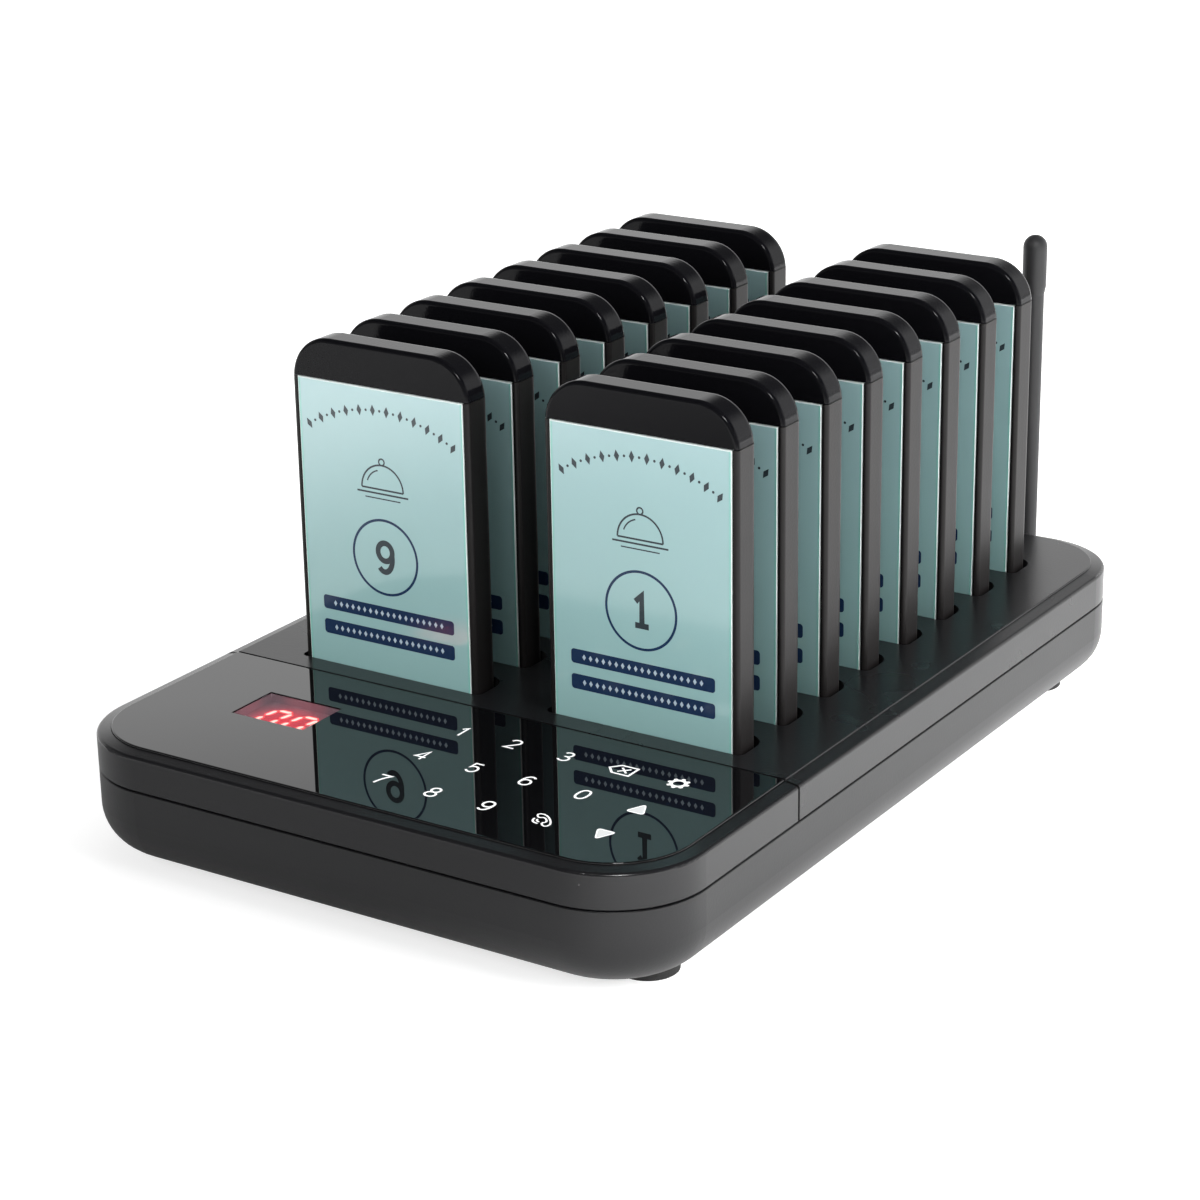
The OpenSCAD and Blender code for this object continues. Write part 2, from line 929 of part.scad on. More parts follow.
module antenna_socket() {
    inner = wall + nut_t + socket_in;
    color("#c8a24a")
        translate([antenna_x, back_y, elbow_z])
            rotate([-90, 0, 0]) {
                translate([0, 0, -inner])
                    cylinder(h = socket_in, r = 2 * lead_r);
                translate([0, 0, -wall - nut_t])
                    cylinder(h = nut_t, r = nut_r, $fn = 6);
                translate([0, 0, -wall])
                    cylinder(h = wall + nut_t + socket_out, r = socket_r);
                hex_nut(nut_r, nut_t, socket_r + pin_gap);
            }
}

module antenna_swivel() {
    start = nut_t + collar_gap;
    color("#17171a")
        translate([antenna_x, back_y, elbow_z])
            rotate([-90, 0, 0]) {
                difference() {
                    union() {
                        translate([0, 0, start])
                            cylinder(h = collar_end - start, r = collar_r);
                        translate([-tongue_t / 2, -antenna_r / 2, collar_end - over])
                            cube([tongue_t, antenna_r, elbow_out - collar_end + over]);
                        translate([-tongue_t / 2, 0, elbow_out])
                            rotate([0, 90, 0])
                                cylinder(h = tongue_t, r = antenna_r);
                    }
                    translate([0, 0, start - over])
                        cylinder(h = socket_out + over, r = socket_r + pin_gap);
                    translate([-tongue_t, 0, elbow_out])
                        rotate([0, 90, 0])
                            cylinder(h = 2 * tongue_t, r = elbow_pin_r + pin_gap);
                    for (n = [1 : knurls])
                        rotate([0, 0, 360 / knurls * n])
                            translate([collar_r + knurl_r / 3, 0, start - over])
                                cylinder(h = collar_end - start - over / 2, r = knurl_r);
                }
            }
}

module antenna_pin() {
    color("#8a8c90")
        translate([antenna_x, elbow_y, elbow_z])
            rotate([0, 90, 0])
                cylinder(h = pin_l, r = elbow_pin_r, center = true);
}

// Knuckle, slender shaft and thicker domed head, slotted for the elbow's tongue
module antenna_rod() {
    slot_t = tongue_t + pin_gap * 6;
    tip = rod_end - elbow_z - antenna_r;
    neck = tip - head_h;
    color("#17171a")
        translate([antenna_x, elbow_y, elbow_z])
            difference() {
                union() {
                    cylinder(h = knuckle_h, r = antenna_r);
                    translate([0, 0, knuckle_h])
                        cylinder(h = taper_h, r1 = antenna_r, r2 = shaft_r);
                    translate([0, 0, knuckle_h])
                        cylinder(h = neck - knuckle_h, r = shaft_r);
                    translate([0, 0, neck - taper_h])
                        cylinder(h = taper_h, r1 = shaft_r, r2 = antenna_r);
                    translate([0, 0, neck])
                        cylinder(h = head_h, r = antenna_r);
                    translate([0, 0, tip])
                        sphere(antenna_r);
                    intersection() {
                        translate([0, 0, -antenna_r])
                            cylinder(h = antenna_r, r = antenna_r);
                        rotate([0, 90, 0])
                            cylinder(h = 3 * antenna_r, r = antenna_r, center = true);
                    }
                }
                rotate([0, 90, 0])
                    cylinder(h = slot_t, r = antenna_r + elbow_gap, center = true);
                rotate([0, 90, 0])
                    cylinder(h = pin_l + pin_gap, r = elbow_pin_r + pin_gap / 4, center = true);
            }
}

module dc_jack() {
    color("#0f0f10")
        translate([-inlet_x, back_y - wall - jack_gap, rear_z])
            rotate([90, 0, 0]) {
                difference() {
                    translate([-jack_w / 2, -jack_w / 2, 0])
                        cube([jack_w, jack_w, jack_l]);
                    translate([0, 0, -over])
                        cylinder(h = jack_depth + over, r = inlet_r);
                }
                translate([0, 0, 2])
                    cylinder(h = jack_depth - 2 + over / 2, r = inlet_pin_r);
            }
}

module switch_frame() {
    body_w = switch_w - 2 * (frame_step + jack_gap);
    body_h = switch_h - frame_step - 2 * jack_gap;
    well_w = body_w - 2 * frame_wall + 2 * jack_gap;
    well_h = body_h - 2 * frame_wall + 2 * (frame_gap - jack_gap);
    color("#101011")
        translate([-switch_x, back_y, rear_z])
            difference() {
                union() {
                    translate([-switch_w / 2, pin_gap, -switch_h / 2])
                        cube([switch_w, flange_t, switch_h]);
                    translate([-body_w / 2, -frame_in, -body_h / 2])
                        cube([body_w, frame_in + flange_t / 2, body_h]);
                }
                translate([-well_w / 2, frame_floor - frame_in, -well_h / 2])
                    cube([well_w, 2 * frame_in, well_h]);
                translate([0, -pivot_in, -switch_h])
                    cylinder(h = 2 * switch_h, r = pivot_r + pin_gap);
            }
}

// Roof-shaped rocker that turns on its own pivots inside the frame
module switch_rocker() {
    half = switch_w / 2 - frame_step - frame_wall - rocker_gap + jack_gap;
    rocker_h = switch_h - 2 * frame_wall - frame_gap;
    rise = half * tan(rocker_tilt);
    color("#141416")
        translate([-switch_x, back_y - pivot_in, rear_z])
            rotate([0, 0, -rocker_tilt]) {
                translate([0, 0, -rocker_h / 2])
                    linear_extrude(rocker_h)
                        intersection() {
                            circle(half);
                            polygon([
                                [-half, -rocker_back],
                                [half, -rocker_back],
                                [half, rocker_rise - rise],
                                [0, rocker_rise],
                                [-half, rocker_rise - rise]
                            ]);
                        }
                cylinder(h = switch_h - frame_step - frame_gap, r = pivot_r, center = true);
            }
}

module feet() {
    color("#202020")
        at_feet()
            difference() {
                cylinder(h = foot_h + foot_sink, r = foot_r);
                translate([0, 0, -over])
                    cylinder(h = over + foot_dish, r = foot_r - foot_rim);
            }
}

module case_screws() {
    color("#9a9ca0")
        at_screws()
            difference() {
                union() {
                    translate([0, 0, screw_seat])
                        cylinder(h = screw_head_t, r = screw_head_r);
                    translate([0, 0, screw_seat + screw_head_t / 2])
                        cylinder(h = screw_end - screw_seat - screw_head_t / 2, r = screw_r);
                }
                for (turn = [0, 90])
                    translate([0, 0, screw_seat])
                        rotate([0, 0, turn])
                            cube([slot_l, slot_w, screw_head_t], center = true);
            }
}

// Pagers ---------------------------------------------------------------------

// Everything above, or below, the seam between a pager's shell and its cap
module past_seam(above) {
    low = above ? cap_z + pager_seam / 2 : -over;
    high = above ? pager_h + over : cap_z - pager_seam / 2;
    translate([-pager_w, -over, low])
        cube([2 * pager_w, pager_t + 2 * over, high - low]);
}

module seam_slit() {
    translate([-pager_w, -over, cap_z - pager_seam / 2])
        cube([2 * pager_w, pager_t + 2 * over, pager_seam]);
}

module face_pocket() {
    low = face_foot - pager_gap;
    translate([-face_w / 2 - pager_gap, -over, low])
        cube([face_w + 2 * pager_gap, face_t + over, cap_z - low]);
}

// Pockets under the charging pads, where the spring contacts meet them
module pad_recesses(depth) {
    for (s = [-1, 1])
        translate([s * contact_x - pad_w / 2, pad_y - pad_l / 2, -over])
            cube([pad_w, pad_l, depth + over]);
}

// Shell and cap of a closed pager, parted by the seam between them
module pager_case(n) {
    color("#161618")
        at_pager(n)
            difference() {
                pager_body();
                seam_slit();
                face_pocket();
                pad_recesses(pad_sink);
            }
}

module face_plate() {
    translate([-face_w / 2, 0, face_foot])
        cube([face_w, face_t, cap_z - pager_seam / 2 - face_foot]);
}

module pager_face(n) {
    color("#a9c6c6")
        at_pager(n)
            face_plate();
}

module pager_01_shell() {
    color("#161618")
        at_pager(1)
            difference() {
                intersection() {
                    pager_body();
                    past_seam(false);
                }
                face_pocket();
                translate([-cavity_w / 2, face_t - over, cavity_foot + 1])
                    cube([cavity_w, cavity_back - face_t + over, pager_h]);
                pad_recesses(cavity_foot + 2 * over);
            }
}

module pager_01_cap() {
    spigot = cavity_w - 2 * pager_gap;
    color("#0d0d0f")
        at_pager(1) {
            intersection() {
                pager_body();
                past_seam(true);
            }
            translate([-spigot / 2, face_t + pager_gap, cap_z - spigot_h])
                cube([spigot, cavity_back - face_t - 2 * pager_gap, spigot_h + over]);
        }
}

module pager_01_face() {
    color("#a9c6c6")
        at_pager(1)
            face_plate();
}

module pager_01_board() {
    board_y = cavity_back - pcb_gap - pcb_t;
    part_y = board_y - lamp_t + pager_gap;
    color("#14532d")
        at_pager(1) {
            translate([-cavity_w / 2 + pcb_inset, board_y, pcb_foot])
                cube([cavity_w - 2 * pcb_inset, pcb_t, pcb_top - pcb_foot]);
            for (x = [-1, 1])
                for (z = [pcb_foot + pin_inset, pcb_top - pin_inset])
                    translate([x * (cavity_w / 2 - pin_inset), board_y + pcb_t / 2, z])
                        rotate([-90, 0, 0])
                            cylinder(h = pcb_gap + pcb_t / 2, r = pin_r);
            for (x = [-2 : 2])
                translate([x * lamp_pitch - lamp_w / 2, part_y, cap_z - lamp_drop])
                    cube([lamp_w, lamp_t, lamp_w]);
            translate([-processor_w / 2, part_y, processor_z])
                cube([processor_w, lamp_t, processor_w]);
        }
}

module pager_01_battery() {
    color("#b8bcc2")
        at_pager(1)
            translate([-battery_w / 2, face_t + battery_gap, battery_z])
                cube([battery_w, battery_t, battery_h]);
}

module pager_01_motor() {
    color("#c8cace")
        at_pager(1)
            translate([motor_x, cavity_back - pcb_gap - pcb_t, motor_z])
                rotate([90, 0, 0])
                    cylinder(h = motor_t, r = motor_r);
}

module pager_01_contacts() {
    color("#d4af37")
        at_pager(1)
            for (s = [-1, 1])
                translate([
                    s * contact_x - pad_w / 2 + 2 * pager_gap,
                    pad_y - pad_l / 2 + 2 * pager_gap,
                    pad_sink
                ])
                    cube([pad_w - 4 * pager_gap, pad_l - 4 * pager_gap, cavity_foot + 2]);
}

bottom_shell();
rear_deck();
front_bezel();
touch_panel();
display_window();
display_module();
touch_board();
flat_cable();
main_board();
buzzer();
charge_board();
charge_contacts();
radio_module();
antenna_lead();
antenna_socket();
dc_jack();
switch_frame();
switch_rocker();
feet();
case_screws();
antenna_swivel();
antenna_pin();
antenna_rod();
pager_01_shell();
pager_01_cap();
pager_01_face();
pager_01_board();
pager_01_battery();
pager_01_motor();
pager_01_contacts();
for (n = [2 : pagers]) {
    pager_case(n);
    pager_face(n);
}
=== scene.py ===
"""Guest pager system: a charging base with a touch keypad and sixteen numbered pagers.

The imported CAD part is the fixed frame. This script gives every piece its finish, and adds the pieces whose
beauty is in their surface: the pagers' printed acrylic faces, the keypad's symbols and the lit display.
Metres, +Z up, the keypad faces -Y and the table is at z = 0.
"""
import math

import bpy
import numpy as np
from mathutils import Matrix, Vector


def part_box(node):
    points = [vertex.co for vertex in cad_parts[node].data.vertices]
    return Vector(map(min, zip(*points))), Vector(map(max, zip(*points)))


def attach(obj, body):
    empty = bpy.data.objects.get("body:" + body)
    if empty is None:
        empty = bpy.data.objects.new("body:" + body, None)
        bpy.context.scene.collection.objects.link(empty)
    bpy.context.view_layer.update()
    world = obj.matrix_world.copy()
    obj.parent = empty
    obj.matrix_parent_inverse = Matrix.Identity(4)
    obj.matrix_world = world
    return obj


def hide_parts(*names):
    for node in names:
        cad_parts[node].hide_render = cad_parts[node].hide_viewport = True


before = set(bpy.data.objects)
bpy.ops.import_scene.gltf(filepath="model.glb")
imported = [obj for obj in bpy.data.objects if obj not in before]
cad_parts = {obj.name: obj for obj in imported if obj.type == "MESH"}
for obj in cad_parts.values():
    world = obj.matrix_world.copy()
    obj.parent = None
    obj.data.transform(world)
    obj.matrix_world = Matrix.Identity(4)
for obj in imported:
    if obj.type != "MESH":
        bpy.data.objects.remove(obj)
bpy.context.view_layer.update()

# The camera ----------------------------------------------------------------------------------------------
# A long lens at about 0.9 m, a little right of the keypad and looking down on it. Its place is measured from
# the front of the housing and the top of the deck, so that it follows the part.
housing_low, housing_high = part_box("bottom_shell")
deck_low, deck_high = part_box("rear_deck")
camera_right, camera_out, camera_up = 0.4393, 0.5519, 0.3109
camera_turn, camera_dip, camera_roll = (math.radians(angle) for angle in (33.127, 20.195, -0.981))
camera = bpy.data.objects.new("camera", bpy.data.cameras.new("camera"))
bpy.context.scene.collection.objects.link(camera)
camera.data.sensor_width = 36
camera.data.lens = 93.77
camera.data.clip_start = 0.05
camera.location = (camera_right, housing_low.y - camera_out, deck_high.z + camera_up)
camera.rotation_euler = (
    Matrix.Rotation(camera_turn, 3, "Z")
    @ Matrix.Rotation(math.pi / 2 - camera_dip, 3, "X")
    @ Matrix.Rotation(camera_roll, 3, "Z")
).to_euler()
bpy.context.scene.camera = camera
bpy.context.scene.view_settings.view_transform = "Standard"

# The studio ----------------------------------------------------------------------------------------------
# A white table that runs out of sight in a room whose walls are white up to the lamps and whose ceiling is
# dark, so that tilted black edges stay black. Soft boxes hang overhead and stand before the left corner, low
# behind the right side and beside it; a small one draws the bright streaks on the pagers' rounded shoulders.
TABLE_REACH = 9.0
ROOM_LIGHT = 0.31
WALL_TOP = 0.37
CEILING_FOOT = 0.52
CEILING_TONE = 0.08
FRONT_TONE = 0.3
FRONT_AT = 0.3
BACK_TONE = 1.35
BACK_AT = -0.5
# A painted shadow: the table is greyer in a pool before the object's left corner.
TABLE_SHADOW_GREY = 0.5
TABLE_FAR = 0.95
TABLE_GLOW = 0.75
TABLE_WHITE = 0.67
SHADOW_POOL_SHIFT = (0.08, 0.14, 0)
SHADOW_POOL_SQUEEZE = (1, 0.7, 0)
SHADOW_POOL_MIDDLE = 0.08
SHADOW_POOL_EDGE = 0.27
AIM = (0, 0, 0.06)


def feed(tree, pairs):
    """Links each input to its socket, or sets it to its plain value."""
    for entry, value in pairs:
        if isinstance(value, bpy.types.NodeSocket):
            tree.links.new(value, entry)
        else:
            entry.default_value = value


def maths(tree, operation, *values):
    """The output of a math node."""
    node = tree.nodes.new("ShaderNodeMath")
    node.operation = operation
    feed(tree, zip(node.inputs, values))
    return node.outputs[0]


def spread(tree, value, low, high, to_low=0, to_high=1, smooth=False):
    """The output of a clamped map range node that turns low to high into to_low to to_high."""
    node = tree.nodes.new("ShaderNodeMapRange")
    node.interpolation_type = "SMOOTHSTEP" if smooth else "LINEAR"
    named = (("Value", value), ("From Min", low), ("From Max", high), ("To Min", to_low), ("To Max", to_high))
    feed(tree, [(node.inputs[socket], given) for socket, given in named])
    return node.outputs["Result"]


def mixed(tree, kind, factor, first, second):
    """The output of a mix node for plain numbers, FLOAT, or for colours, RGBA."""
    node = tree.nodes.new("ShaderNodeMix")
    node.data_type = kind
    feed(tree, ((node.inputs["Factor"], factor), (node.inputs["A"], first), (node.inputs["B"], second)))
    return node.outputs["Result"]


def seen_directly(tree):
    """Two masks: 1 for camera, glossy and transmission rays and 0 for the light that falls on the object, and 1
    for camera rays alone."""
    path = tree.nodes.new("ShaderNodeLightPath").outputs
    eye = path["Is Camera Ray"]
    either = maths(tree, "MAXIMUM", eye, path["Is Glossy Ray"])
    return maths(tree, "MAXIMUM", either, path["Is Transmission Ray"]), eye


def white_room():
    """World: it lights the object at ROOM_LIGHT and looks white. In reflections it is white up to WALL_TOP, the
    sine of the elevation, and darkens to CEILING_TONE at CEILING_FOOT; it runs from FRONT_TONE before the
    object to BACK_TONE behind it."""
    world = bpy.data.worlds.new("white_room")
    world.use_nodes = True
    tree = world.node_tree
    split = tree.nodes.new("ShaderNodeSeparateXYZ")
    tree.links.new(tree.nodes.new("ShaderNodeNewGeometry").outputs["Incoming"], split.inputs[0])
    wall = spread(tree, split.outputs["Z"], -CEILING_FOOT, -WALL_TOP, CEILING_TONE)
    depth = spread(tree, split.outputs["Y"], BACK_AT, FRONT_AT, BACK_TONE, FRONT_TONE)
    seen, eye = seen_directly(tree)
    strength = mixed(tree, "FLOAT", seen, ROOM_LIGHT, maths(tree, "MULTIPLY", wall, depth))
    background = tree.nodes["Background"].inputs
    background["Color"].default_value = (1, 1, 1, 1)
    tree.links.new(mixed(tree, "FLOAT", eye, strength, 1), background["Strength"])
    bpy.context.scene.world = world


def white_table():
    """Floor: a diffuse top that takes the shadow, with a painted shadow: a greyer pool before the object's left
    corner, from a darker grey in its middle to TABLE_FAR outside it. Outside the painted shadow it also glows at
    TABLE_GLOW in reflections, and the eye sees an even glow of TABLE_WHITE. From below it is clear."""
    mesh = bpy.data.meshes.new("table_top")
    corners = [(x * TABLE_REACH, y * TABLE_REACH, 0) for x, y in ((-1, -1), (1, -1), (1, 1), (-1, 1))]
    mesh.from_pydata(corners, [], [(0, 1, 2, 3)])
    table = bpy.data.objects.new("table_top", mesh)
    bpy.context.scene.collection.objects.link(table)
    finish = bpy.data.materials.new("table_white")
    finish.use_nodes = True
    tree = finish.node_tree
    nodes, links = tree.nodes, tree.links
    nodes.clear()
    # Painted shadow: a grey pool on the table before the left corner, which also keeps the reflected glow out of
    # it.
    from_shadow_pool = nodes.new("ShaderNodeMapping")
    from_shadow_pool.inputs["Location"].default_value = SHADOW_POOL_SHIFT
    from_shadow_pool.inputs["Scale"].default_value = SHADOW_POOL_SQUEEZE
    links.new(nodes.new("ShaderNodeTexCoord").outputs["Object"], from_shadow_pool.inputs["Vector"])
    distance = nodes.new("ShaderNodeVectorMath")
    distance.operation = "LENGTH"
    links.new(from_shadow_pool.outputs["Vector"], distance.inputs[0])
    away = spread(tree, distance.outputs["Value"], SHADOW_POOL_MIDDLE, SHADOW_POOL_EDGE, smooth=True)
    matt = nodes.new("ShaderNodeBsdfDiffuse")
    links.new(mixed(tree, "RGBA", away, (*[TABLE_SHADOW_GREY] * 3, 1), (*[TABLE_FAR] * 3, 1)), matt.inputs["Color"])
    seen, eye = seen_directly(tree)
    mirrored = maths(tree, "MULTIPLY", maths(tree, "MULTIPLY", away, seen), TABLE_GLOW)
    glow = nodes.new("ShaderNodeEmission")
    links.new(mixed(tree, "FLOAT", eye, mirrored, TABLE_WHITE), glow.inputs["Strength"])
    both = nodes.new("ShaderNodeAddShader")
    links.new(matt.outputs[0], both.inputs[0])
    links.new(glow.outputs[0], both.inputs[1])
    from_below = nodes.new("ShaderNodeMixShader")
    links.new(nodes.new("ShaderNodeNewGeometry").outputs["Backfacing"], from_below.inputs["Fac"])
    links.new(both.outputs[0], from_below.inputs[1])
    links.new(nodes.new("ShaderNodeBsdfTransparent").outputs[0], from_below.inputs[2])
    links.new(from_below.outputs[0], nodes.new("ShaderNodeOutputMaterial").inputs["Surface"])
    mesh.materials.append(finish)


def soft_box(name, place, size, power, mirrored=False):
    """A square area lamp at place, turned to the middle of the object. It either lights the object or is only
    mirrored in it."""
    lamp = bpy.data.objects.new(name, bpy.data.lights.new(name, "AREA"))
    bpy.context.scene.collection.objects.link(lamp)
    lamp.data.size = size
    lamp.data.energy = power
    lamp.location = place
    lamp.visible_glossy = mirrored
    lamp.visible_diffuse = not mirrored
    lamp.rotation_euler = (Vector(AIM) - Vector(place)).to_track_quat("-Z", "Y").to_euler()


white_room()
white_table()
soft_box("overhead_box", (0.25, 0.35, 1.5), 1.4, 9)
soft_box("front_box", (-0.5, -1.4, 0.8), 0.9, 13)
soft_box("side_box", (0.95, 1.15, 0.45), 0.8, 12)
soft_box("gap_box", (0.85, -0.15, 0.4), 0.4, 8)
soft_box("shoulder_box", (0.8, -1.05, 1.25), 0.3, 12, mirrored=True)

# Lower housing -------------------------------------------------------------------------------------------
# The tub that the base stands on: injection-moulded ABS with a fine satin spark finish, its walls 2.4 mm thick
# and its lower edge well rounded. Screws from below hold it to the two upper mouldings.
HOUSING_BLACK = (0.007, 0.007, 0.008, 1)
GRAIN_SIZE = 0.0007
CLOUD_SIZE = 0.03
SPECK_SIZE = 0.006
SPECK_EDGE, SPECK_CORE = 0.05, 0.03
SPECK_RARITY = 0.8
DUST_GREY = (0.2, 0.2, 0.2, 1)
BUMP_HEIGHT = 0.0002


def new_group(name, inputs, outputs):
    """An empty shader node group with named inputs and outputs, each given as (name, kind, value)."""
    group = bpy.data.node_groups.new(name, "ShaderNodeTree")
    for socket, kind, value in inputs:
        made = group.interface.new_socket(name=socket, in_out="INPUT", socket_type=kind)
        made.default_value = value
    for socket, kind in outputs:
        group.interface.new_socket(name=socket, in_out="OUTPUT", socket_type=kind)
    return group, group.nodes.new("NodeGroupInput"), group.nodes.new("NodeGroupOutput")


def make_moulded_surface():
    """Moulded plastic: height = fine noise; roughness and tone drift with a slow cloud; rare pale dust specks."""
    group, given, made = new_group(
        "moulded_surface",
        [
            ("Colour", "NodeSocketColor", HOUSING_BLACK),
            ("Roughness", "NodeSocketFloat", 0.4),
            ("Drift", "NodeSocketFloat", 0.06),
            ("Dust", "NodeSocketFloat", 0.3),
        ],
        [("Colour", "NodeSocketColor"), ("Roughness", "NodeSocketFloat"), ("Height", "NodeSocketFloat")],
    )
    nodes, links = group.nodes, group.links
    place = nodes.new("ShaderNodeTexCoord")
    grain = nodes.new("ShaderNodeTexNoise")
    grain.inputs["Scale"].default_value = 1 / GRAIN_SIZE
    grain.inputs["Detail"].default_value = 1
    cloud = nodes.new("ShaderNodeTexNoise")
    cloud.inputs["Scale"].default_value = 1 / CLOUD_SIZE
    cloud.inputs["Detail"].default_value = 3
    specks = nodes.new("ShaderNodeTexVoronoi")
    specks.inputs["Scale"].default_value = 1 / SPECK_SIZE
    for texture in (grain, cloud, specks):
        links.new(place.outputs["Object"], texture.inputs["Vector"])
    centred = maths(group, "SUBTRACT", cloud.outputs["Fac"], 0.5)
    roughness = maths(group, "MULTIPLY_ADD", centred, given.outputs["Drift"], given.outputs["Roughness"])
    near_speck = spread(group, specks.outputs["Distance"], SPECK_EDGE, SPECK_CORE)
    chosen = maths(group, "GREATER_THAN", specks.outputs["Color"], SPECK_RARITY)
    dusty = maths(group, "MULTIPLY", maths(group, "MULTIPLY", near_speck, chosen), given.outputs["Dust"])
    links.new(mixed(group, "RGBA", dusty, given.outputs["Colour"], DUST_GREY), made.inputs["Colour"])
    links.new(roughness, made.inputs["Roughness"])
    links.new(grain.outputs["Fac"], made.inputs["Height"])
    return group


moulded_surface = make_moulded_surface()


def new_finish(name, group, **inputs):
    """A new material with a shader group beside its Principled shader, the group's inputs set by name."""
    finish = bpy.data.materials.new(name)
    finish.use_nodes = True
    surface = finish.node_tree.nodes.new("ShaderNodeGroup")
    surface.node_tree = group
    for socket, value in inputs.items():
        surface.inputs[socket].default_value = value
    return finish, finish.node_tree, finish.node_tree.nodes["Principled BSDF"], surface


def tuned(finish, **inputs):
    """The same material with some of its shader's inputs set to new values; _ stands for a space."""
    for socket, value in inputs.items():
        finish.node_tree.nodes["Principled BSDF"].inputs[socket.replace("_", " ")].default_value = value
    return finish


def moulded_plastic(name, colour, roughness, drift=0.06, dust=0.3, grain=0.05):
    """A Principled plastic whose colour, roughness and bump come from the moulded_surface group."""
    finish, tree, shader, surface = new_finish(
        name, moulded_surface, Colour=(*colour, 1), Roughness=roughness, Drift=drift, Dust=dust)
    relief = tree.nodes.new("ShaderNodeBump")
    relief.inputs["Strength"].default_value = grain
    relief.inputs["Distance"].default_value = BUMP_HEIGHT
    tree.links.new(surface.outputs["Colour"], shader.inputs["Base Color"])
    tree.links.new(surface.outputs["Roughness"], shader.inputs["Roughness"])
    tree.links.new(surface.outputs["Height"], relief.inputs["Height"])
    tree.links.new(relief.outputs["Normal"], shader.inputs["Normal"])
    return finish


def dress(material, *names):
    """Gives CAD nodes that stay as they are their finish."""
    for name in names:
        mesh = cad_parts[name].data
        mesh.materials.clear()
        mesh.materials.append(material)


dress(moulded_plastic("housing_black", HOUSING_BLACK[:3], 0.36, grain=0.1), "bottom_shell")

# Rear deck -----------------------------------------------------------------------------------------------
# One moulding with the sixteen charging wells. Its top is finer and darker than the tub, so it picks up a soft
# image of what stands on it.
dress(moulded_plastic("deck_black", (0.008, 0.008, 0.009), 0.28, grain=0.08), "rear_deck")

# Front bezel ---------------------------------------------------------------------------------------------
# The frame round the keypad, parted from the deck by a hairline joint.
dress(moulded_plastic("bezel_black", (0.007, 0.007, 0.008), 0.24, grain=0.06), "front_bezel")

# Joint shade strip ---------------------------------------------------------------------------------------
# A matt black strip laid over the joint between the bezel and the deck on the right and the left side: painted
# shade that stands in for the shadow in the joint. It stands a hair beyond the surface of both.
JOINT_SIDE = ((0, -10.4), (0, -2.04), (-0.01, -1.9), (-0.09, -1.63), (-0.33, -1.3), (-0.69, -1.09), (-0.83, -1.05),
              (-3.8, -0.53))
JOINT_PROUD = 0.00003
JOINT_WIDTH = 0.0008


def finished_piece(name, points, faces, material, body, slot, sharp=40):
    """A mesh object at the origin, smooth up to the sharp angle, that rides on a body."""
    mesh = bpy.data.meshes.new(name)
    mesh.from_pydata(np.asarray(points).tolist(), [], faces)
    mesh.validate()
    mesh.polygons.foreach_set("use_smooth", np.ones(len(mesh.polygons), bool))
    mesh.set_sharp_from_angle(angle=math.radians(sharp))
    mesh.materials.append(material)
    piece = bpy.data.objects.new(name, mesh)
    bpy.context.scene.collection.objects.link(piece)
    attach(piece, body)
    return piece


def joint_strip():
    """The housing's side profile, in millimetres from the deck's right top edge, moved outwards by JOINT_PROUD
    and drawn along the joint's width; the left side is its mirror image."""
    profile = np.array(JOINT_SIDE) / 1000 + (deck_high.x + JOINT_PROUD, deck_high.z + JOINT_PROUD)
    middle = (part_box("front_bezel")[1].y + deck_low.y) / 2
    front, back = middle - JOINT_WIDTH / 2, middle + JOINT_WIDTH / 2
    points, faces = [], []
    for side in (1, -1):
        start = len(points)
        points += [(side * x, y, z) for x, z in profile for y in (front, back)]
        quads = [(start + 2 * i, start + 2 * i + 1, start + 2 * i + 3, start + 2 * i + 2)
                 for i in range(len(profile) - 1)]
        faces += quads if side == 1 else [quad[::-1] for quad in quads]
    return points, faces


# Painted shade: a dark strip darkens the joint where there is only its shadow.
finished_piece("joint_shade_strip", *joint_strip(),
               tuned(moulded_plastic("joint_painted_shade", (0.001, 0.001, 0.001), 0.8), Specular_IOR_Level=0.1),
               "base", "housing_black")

# Touch panel ---------------------------------------------------------------------------------------------
# A 2.5 mm acrylic sheet, printed black behind and polished in front, that lies in the bezel. It mirrors the
# room, with a faint haze where fingers have wiped it.
PANEL_BLACK = (0.0025, 0.0025, 0.003)
PANEL_CORNER = 0.02205
PANEL_BACK_CORNER = 0.0005
PANEL_EDGE = 0.0003
HAZE_SIZE = 1 / 45


def make_finger_haze():
    """Polished surface: roughness rises in soft streaked patches of noise."""
    group, given, made = new_group(
        "finger_haze",
        [("Roughness", "NodeSocketFloat", 0.02), ("Haze", "NodeSocketFloat", 0.05)],
        [("Roughness", "NodeSocketFloat")],
    )
    nodes, links = group.nodes, group.links
    place = nodes.new("ShaderNodeTexCoord")
    patches = nodes.new("ShaderNodeTexNoise")
    patches.inputs["Scale"].default_value = 1 / HAZE_SIZE
    patches.inputs["Detail"].default_value = 4
    patches.inputs["Distortion"].default_value = 1.2
    links.new(place.outputs["Object"], patches.inputs["Vector"])
    only_high = spread(group, patches.outputs["Fac"], 0.5, 0.8)
    hazy = maths(group, "MULTIPLY_ADD", only_high, given.outputs["Haze"], given.outputs["Roughness"])
    links.new(hazy, made.inputs["Roughness"])
    return group


finger_haze = make_finger_haze()


def polished(name, colour, roughness=0.02, haze=0.05, ior=1.5):
    """A polished Principled surface with the finger_haze group on its roughness."""
    finish, tree, shader, surface = new_finish(name, finger_haze, Roughness=roughness, Haze=haze)
    tree.links.new(surface.outputs[0], shader.inputs["Roughness"])
    return tuned(finish, Base_Color=(*colour, 1), IOR=ior)


